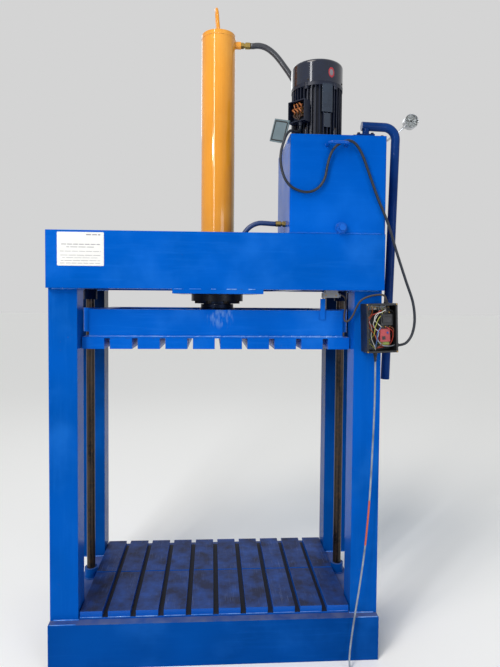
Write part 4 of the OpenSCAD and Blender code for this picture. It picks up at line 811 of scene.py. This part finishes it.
# The frame's blue enamel, set darker as painted shade on the valve and lever.
shaded_lever_paint = enamel("blue_enamel_darkened_as_shade_on_valve", "#0b2f6c", "#082558", "#164285", rough=0.14, rust=0.2, depth=0.08,
                     coat=0.12)
dress(shaded_lever_paint, "dark_blue_paint", "valve_lever", "valve_block",
      weld("weld_at_lever_post", ring_route((valve_x, motor_y, 2470), 17, 24), 2.2, "lever"))
for i, (x, y) in enumerate(((661, -215), (661, -125), (726, -215), (726, -125))):
    bolt = hex_screw("valve_bolt_%d" % i, (x, y, valve_block_top), (0, 0, 1), 13, 7)
    dress(bolt_steel, "black_bolts", bolt)


# Pressure gauge
# Pressed stainless case with a bright bezel and a white enamelled dial under glass. Plain strokes stand for
# its scale. The case leans with its stem.
def clear_glass(name):
    """Flat window glass: no colour and nearly smooth."""
    material, tree, shader, place = begin(name)
    connect(tree, shader, {"Base Color": "#f4f8f8", "Roughness": 0.03, "Transmission Weight": 1.0,
                           "IOR": 1.45})
    return material


gauge_y, gauge_lean, dial_r, scale_r = -60, 51, 32.6, 29
gauge_x, _, gauge_z = np.add(*node_box("gauge_glass")) / 2
gauge_steel = machined("pressed_stainless", "#c4c6c9", "#a9acb0", 0.22)
turn = np.arange(10) * math.pi / 5
bezel = turned("gauge_bezel", np.stack([34.3 + 1.6 * np.cos(turn), 14.2 + 1.6 * np.sin(turn)], 1),
               (gauge_x, gauge_y, gauge_z), (0, -1, 0), sides=64, loop=True)
bezel.data.shade_smooth()
dial = turned("gauge_dial", [(dial_r, 0), (dial_r, 0.3)], (gauge_x, gauge_y - 7.05, gauge_z), (0, -1, 0),
              sides=64)
number = np.arange(31)[:, None]
angle = np.radians(gauge_lean - 135 + number * 9)
long_one = number % 5 == 0
radius = scale_r - np.where(long_one, 7, 4) * (0, 0, 1, 1)
half = np.where(long_one, 0.7, 0.35) * (1, -1, -1, 1)
strokes = np.stack([gauge_x + radius * np.sin(angle) + half * np.cos(angle),
                    np.full(radius.shape, gauge_y - 7.5),
                    gauge_z + radius * np.cos(angle) - half * np.sin(angle)], -1).reshape(-1, 3)
scale = mesh_piece("gauge_scale", strokes, np.arange(len(strokes)).reshape(-1, 4).tolist(), smooth=False)
dress(gauge_steel, "gauge_steel", bezel, "pressure_gauge")
dress(satin("white_dial_enamel", "#b9babc", "#aeafb1", 0.35, 0), "grey_plastic", dial)
dress(satin("black_dial_print", "#17181a", "#1c1d1f", 0.5, 0), "black_plastic", scale)
dress(black_plastic, "black_plastic", "gauge_needle")
dress(clear_glass("gauge_window"), "gauge_glass", "gauge_glass")


# Starter box
# Open sheet box in satin black enamel, without its lid: contactor, overload relay with a blue reset button,
# a row of clamps and single PVC wires in several colours. It is screwed to the column and leans by two
# degrees.
starter_x, starter_z, box_lean = 717, 1525, math.radians(2)
starter_back = node_box("starter_box")[1][1]


def in_starter_box(points):
    """World places of points given from the middle of the box's back: right, back and up."""
    x, y, z = np.asarray(points, float).T
    return np.c_[starter_x + math.cos(box_lean) * x - math.sin(box_lean) * z, y + starter_back,
                 starter_z + math.sin(box_lean) * x + math.cos(box_lean) * z]


def block(name, low, high, width=0.5):
    """A box in the starter box between two corners, with softened edges."""
    x, y, z = np.array(np.meshgrid([0, 1], [0, 1], [0, 1], indexing="ij")).reshape(3, -1)
    points = np.array(low) + (np.array(high) - low) * np.c_[x, y, z]
    faces = [[0, 1, 3, 2], [4, 6, 7, 5], [0, 4, 5, 1], [2, 3, 7, 6], [0, 2, 6, 4], [1, 5, 7, 3]]
    return soften(mesh_piece(name, in_starter_box(points), faces, smooth=False), width)


def round_head(name, place, radius):
    """A low round screw head that faces the front."""
    profile = [(radius, 0), (radius, radius * 0.35), (radius * 0.7, radius * 0.55)]
    return turned(name, profile, place, (0, -1, 0), sides=16)


red_plastic = satin("red_moulding", "#ad4044", "#8f3038", 0.4, 0.2)
clamp_plastic = satin("white_moulding", "#c9c7bf", "#aeaaa0", 0.45)
back_plate = block("box_back_plate", (-62, -3.6, -102), (62, -2.1, 102))
rail = block("box_rail", (-58, -10, 79), (60, -3.6, 103))
bridge = block("contactor_bridge", (6, -83, 22), (46, -76.2, 50), 1.5)
dial_frame = block("relay_dial_frame", (8, -66.5, -52), (22, -64.2, -38))
relay_foot = block("relay_foot", (2, -58, -76), (42, -20, -62.2))
earth_clamp = block("earth_clamp", (-52, -34, -78), (-40, -3.6, -48))
dress(satin("black_box_enamel", "#0f1114", "#1d1f23", 0.4, 0.25, gloss=0.35), "box_paint", "starter_box")
dress(red_plastic, "red_plastic", "overload_relay")
dress(satin("blue_button", "#1d3f94", "#1a3680", 0.35), "blue_plastic", "reset_button")
dress(machined("galvanised_back_plate", "#5d6063", "#4c4f52", 0.45, metallic=0.8), "zinc_fittings",
      back_plate, rail)
dress(black_plastic, "black_plastic", "contactor", bridge, dial_frame)
dress(satin("yellow_green_moulding", "#8f9a3c", "#76803a", 0.45, 0.2), "grey_plastic", relay_foot,
      earth_clamp)
for i in range(7):
    x = i * 15 - 50
    clamp = block("clamp_%d" % i, (x, -40 + i % 3, 80), (x + 13, -10, 102), 1)
    dress(clamp_plastic if i % 3 else grey_plastic, "grey_plastic", clamp)
    screw = round_head("clamp_screw_%d" % i, in_starter_box([(x + 6.5, -40, 91)])[0], 3.6)
    dress(brass, "zinc_fittings", screw)
for i in range(-1, 2):
    for s in (-1, 1):
        place = in_starter_box([(26 + i * 20, -57, 36 + s * 32)])[0]
        dress(brass, "zinc_fittings", round_head("contactor_screw_%d_%d" % (i, s), place, 4))
for i, (x, z) in enumerate(((-65, 103.5), (65, 103.5), (-65, -103.5), (65, -103.5))):
    dress(brass, "zinc_fittings", round_head("box_screw_%d" % i, in_starter_box([(x, -95, z)])[0], 3))

wire_colours = {
    "red": ("#c23a2c", "#a23226"), "orange": ("#cf6a2e", "#b05725"), "white": ("#cfcfcb", "#b5b4ae"),
    "yellow": ("#b5b048", "#7f8f3c"), "black": ("#16171a", "#202226"), "brown": ("#8a4c34", "#6d3c2a"),
    "blue": ("#4a76b8", "#3a62a0"), "grey": ("#8f9aa5", "#77828c"),
}
wire_routes = [
    ("red", [(6, -59, 68), (2, -72, 78), (-14, -70, 66), (-34, -60, 56), (-46, -52, 30), (-40, -44, 8),
             (-30, -40, -20)]),
    ("red", [(-43, -42, 90), (-52, -56, 72), (-56, -56, 40), (-44, -52, 20), (-28, -52, 4), (-10, -60, -14),
             (4, -62, -10)]),
    ("orange", [(-28, -42, 90), (-34, -58, 66), (-50, -60, 44), (-54, -50, 14), (-40, -54, -8),
                (-24, -58, -30), (-10, -50, -60)]),
    ("white", [(26, -59, 68), (22, -76, 80), (4, -80, 70), (-18, -74, 62), (-26, -66, 38), (-12, -66, 20),
               (2, -70, 6)]),
    ("white", [(2, -42, 90), (-4, -62, 68), (-20, -70, 46), (-30, -62, 18), (-20, -62, -4), (-6, -62, -20),
               (-12, -52, -52)]),
    ("yellow", [(17, -42, 90), (10, -66, 64), (-10, -74, 40), (-22, -68, 6), (-26, -60, -26),
                (-36, -46, -46), (-46, -36, -58)]),
    ("black", [(46, -59, 68), (44, -76, 80), (26, -80, 72), (6, -76, 56), (-4, -68, 30), (-10, -60, 4),
               (0, -58, -8)]),
    ("black", [(32, -42, 92), (36, -60, 86), (56, -64, 74), (62, -60, 50), (60, -58, 14), (58, -54, -20),
               (40, -52, -60)]),
    ("brown", [(46, -59, 4), (56, -70, -4), (60, -64, -24), (56, -56, -56), (44, -50, -78), (20, -46, -86),
               (-14, -50, -92)]),
    ("red", [(26, -59, 4), (34, -74, -2), (52, -70, -14), (58, -60, -40), (50, -54, -68), (26, -52, -82),
             (-8, -52, -90)]),
    ("blue", [(6, -59, 4), (-4, -70, -4), (-14, -66, -24), (-12, -58, -50), (-16, -52, -74),
              (-20, -52, -94)]),
    ("brown", [(10, -60, -62), (4, -66, -74), (-8, -62, -84), (-18, -54, -94)]),
    ("yellow", [(-46, -36, -58), (-42, -50, -72), (-30, -56, -84), (-22, -53, -96)]),
    ("grey", [(64, -52, -80), (52, -56, -83), (34, -62, -82), (10, -62, -78), (-6, -56, -60),
              (-20, -50, -34)]),
    ("grey", [(32, -52, 103), (26, -58, 97), (16, -62, 93), (0, -56, 94), (-20, -50, 96)]),
    ("white", [(-20, -52, -100), (-24, -60, -84), (-34, -58, -60), (-38, -52, -34), (-34, -50, -6),
               (-44, -52, 26), (-52, -50, 70)]),
]
wire_coats = {k: satin(k + "_wire_pvc", a, b, 0.38, 0.15) for k, (a, b) in wire_colours.items()}
for i, (colour, route) in enumerate(wire_routes):
    radius = 2.6 if colour == "grey" else 1.9
    wire = tube("box_wire_%d" % i, smooth_line(in_starter_box(route), 4), radius, 8)
    dress(wire_coats[colour], "cable_rubber", wire)


# Limit switch
# Die-cast switch on a block under the head, in pale, dull enamel, with two brass cover screws. The
# follower's bar lifts its ground steel plunger.
switch_front, switch_z = -303, 1667
dress(satin("pale_switch_case", "#85888c", "#6b6e73", 0.42, 0.2), "grey_plastic", "limit_switch")
dress(machined("ground_plunger", "#a7a5a0", "#8e8b85", 0.3), "guide_steel", "switch_plunger")
for i, x in enumerate((496, 544)):
    dress(brass, "zinc_fittings", round_head("switch_screw_%d" % i, (x, switch_front, switch_z), 3.4))


# Data plate
# White printed plate stuck to the front of the head. Plain bars stand for its lines of words.
plate_left, plate_right, plate_foot, plate_head = -692.5, -493.5, 1786, 1931
turn = np.linspace(0, math.pi / 2, 5)
arc = 4 * np.stack([np.cos(turn), np.sin(turn)], 1)
rim = np.vstack([arc * (-1, 1) + (plate_left + 4, plate_head - 4),
                 arc[::-1] + (plate_right - 4, plate_head - 4),
                 arc * (1, -1) + (plate_right - 4, plate_foot + 4),
                 arc[::-1] * (-1, -1) + (plate_left + 4, plate_foot + 4)])
outline = [(x, y, z) for y in (face_y, face_y - 1.2) for x, z in rim]
dress(satin("white_plate_enamel", "#d9d9d5", "#cdcdc8", 0.4, 0.1), "grey_plastic",
      mesh_piece("data_plate", outline, ring_faces(2, len(rim)), smooth=False))
rows = ((9, 9, 124, 60), (51, 7, 18, 164), (63, 6, 40, 120), (82, 4, 12, 174), (99, 4, 14, 170),
        (110, 3, 22, 150), (122, 4, 16, 166), (133, 4, 12, 174))
bars = []
for number, (drop, height, start, run) in enumerate(rows):
    x = start
    while x < start + run:
        length = min((17, 26, 12, 31, 21)[(number + x) % 5], start + run - x)
        bars.append((x, x + length, drop + height / 2, drop))
        x += length + 4
x0, x1, z0, z1 = (np.array(bars) * (1, 1, -1, -1) + (plate_left, plate_left, plate_head, plate_head)).T
y = np.full(len(bars), face_y - 1.3)
bars = np.stack([x0, y, z0, x1, y, z0, x1, y, z1, x0, y, z1], 1).reshape(-1, 3)
dress(satin("grey_plate_print", "#8a878c", "#7c797e", 0.5, 0), "grey_plastic",
      mesh_piece("data_plate_bars", bars, np.arange(len(bars)).reshape(-1, 4).tolist(), smooth=False))


# Floor and light
# A plain pale floor and surround, as in a studio: a wide soft sun from the front left, a tall strip light
# that draws a line on round parts, a small light for the glints on beads, a weaker fill from the right and a
# light from behind.
floor_z = -0.0005
floor_mesh = bpy.data.meshes.new("floor")
floor_mesh.from_pydata([(-40, -30, floor_z), (40, -30, floor_z), (40, 50, floor_z), (-40, 50, floor_z)], [],
                       [(0, 1, 2, 3)])
floor = bpy.data.objects.new("floor", floor_mesh)
bpy.context.scene.collection.objects.link(floor)
floor_material, tree, shader, place = begin("pale_floor")
connect(tree, shader, {"Base Color": "#fafaf8", "Roughness": 0.75, "Specular IOR Level": 0.2})
floor_mesh.materials.append(floor_material)


def lamp(name, kind, place, target, power, colour, **settings):
    """A lamp with its settings that looks from a place at a point, both in metres."""
    data = bpy.data.lights.new(name, kind)
    data.energy = power
    data.color = linear(colour)[:3]
    for key, value in settings.items():
        setattr(data, key, value)
    light = bpy.data.objects.new(name, data)
    light.location = place
    light.rotation_mode = "QUATERNION"
    light.rotation_quaternion = (Vector(target) - Vector(place)).to_track_quat("-Z", "Y")
    bpy.context.scene.collection.objects.link(light)


for name, place, target, (width, height), power, colour in (
        ("strip_light", (-1.75, -3.1, 3.1), (0, 0, 3.1), (0.38, 3.2), 60, "#fbfbfd"),
        ("small_light", (-2.0, -2.7, 3.3), (0, 0, 1.4), (0.16, 0.16), 16, "#ffffff"),
        ("fill_light", (2.8, -4.4, 1.9), (0.4, 0, 1.3), (2.0, 2.0), 45, "#f4f7ff"),
        ("rim_light", (-0.5, 3.8, 4.6), (0, 0, 1.8), (3.0, 2.0), 24, "#ffffff")):
    lamp(name, "AREA", place, target, power, colour, shape="RECTANGLE", size=width, size_y=height)
lamp("soft_sun", "SUN", (0, 0, 0), (0.6, 0.68, -0.95), 1.4, "#fff6ea", angle=math.radians(30))

world = bpy.data.worlds.new("surround")
bpy.context.scene.world = world
world.use_nodes = True
sky = world.node_tree
rays = sky.nodes.new("ShaderNodeLightPath").outputs
shown = add(sky, "Math", {0: rays["Is Camera Ray"], 1: rays["Is Glossy Ray"]}, operation="MAXIMUM")
shown = add(sky, "Math", {0: shown, 1: rays["Is Transmission Ray"]}, operation="MAXIMUM")
seen = add(sky, "Mix", {0: shown, 6: "#a3a9b0", 7: "#d4d4d4"}, out=2, data_type="RGBA")
connect(sky, sky.nodes["Background"], {"Color": seen, "Strength": 1.0})
bpy.context.scene.view_settings.view_transform = "Standard"
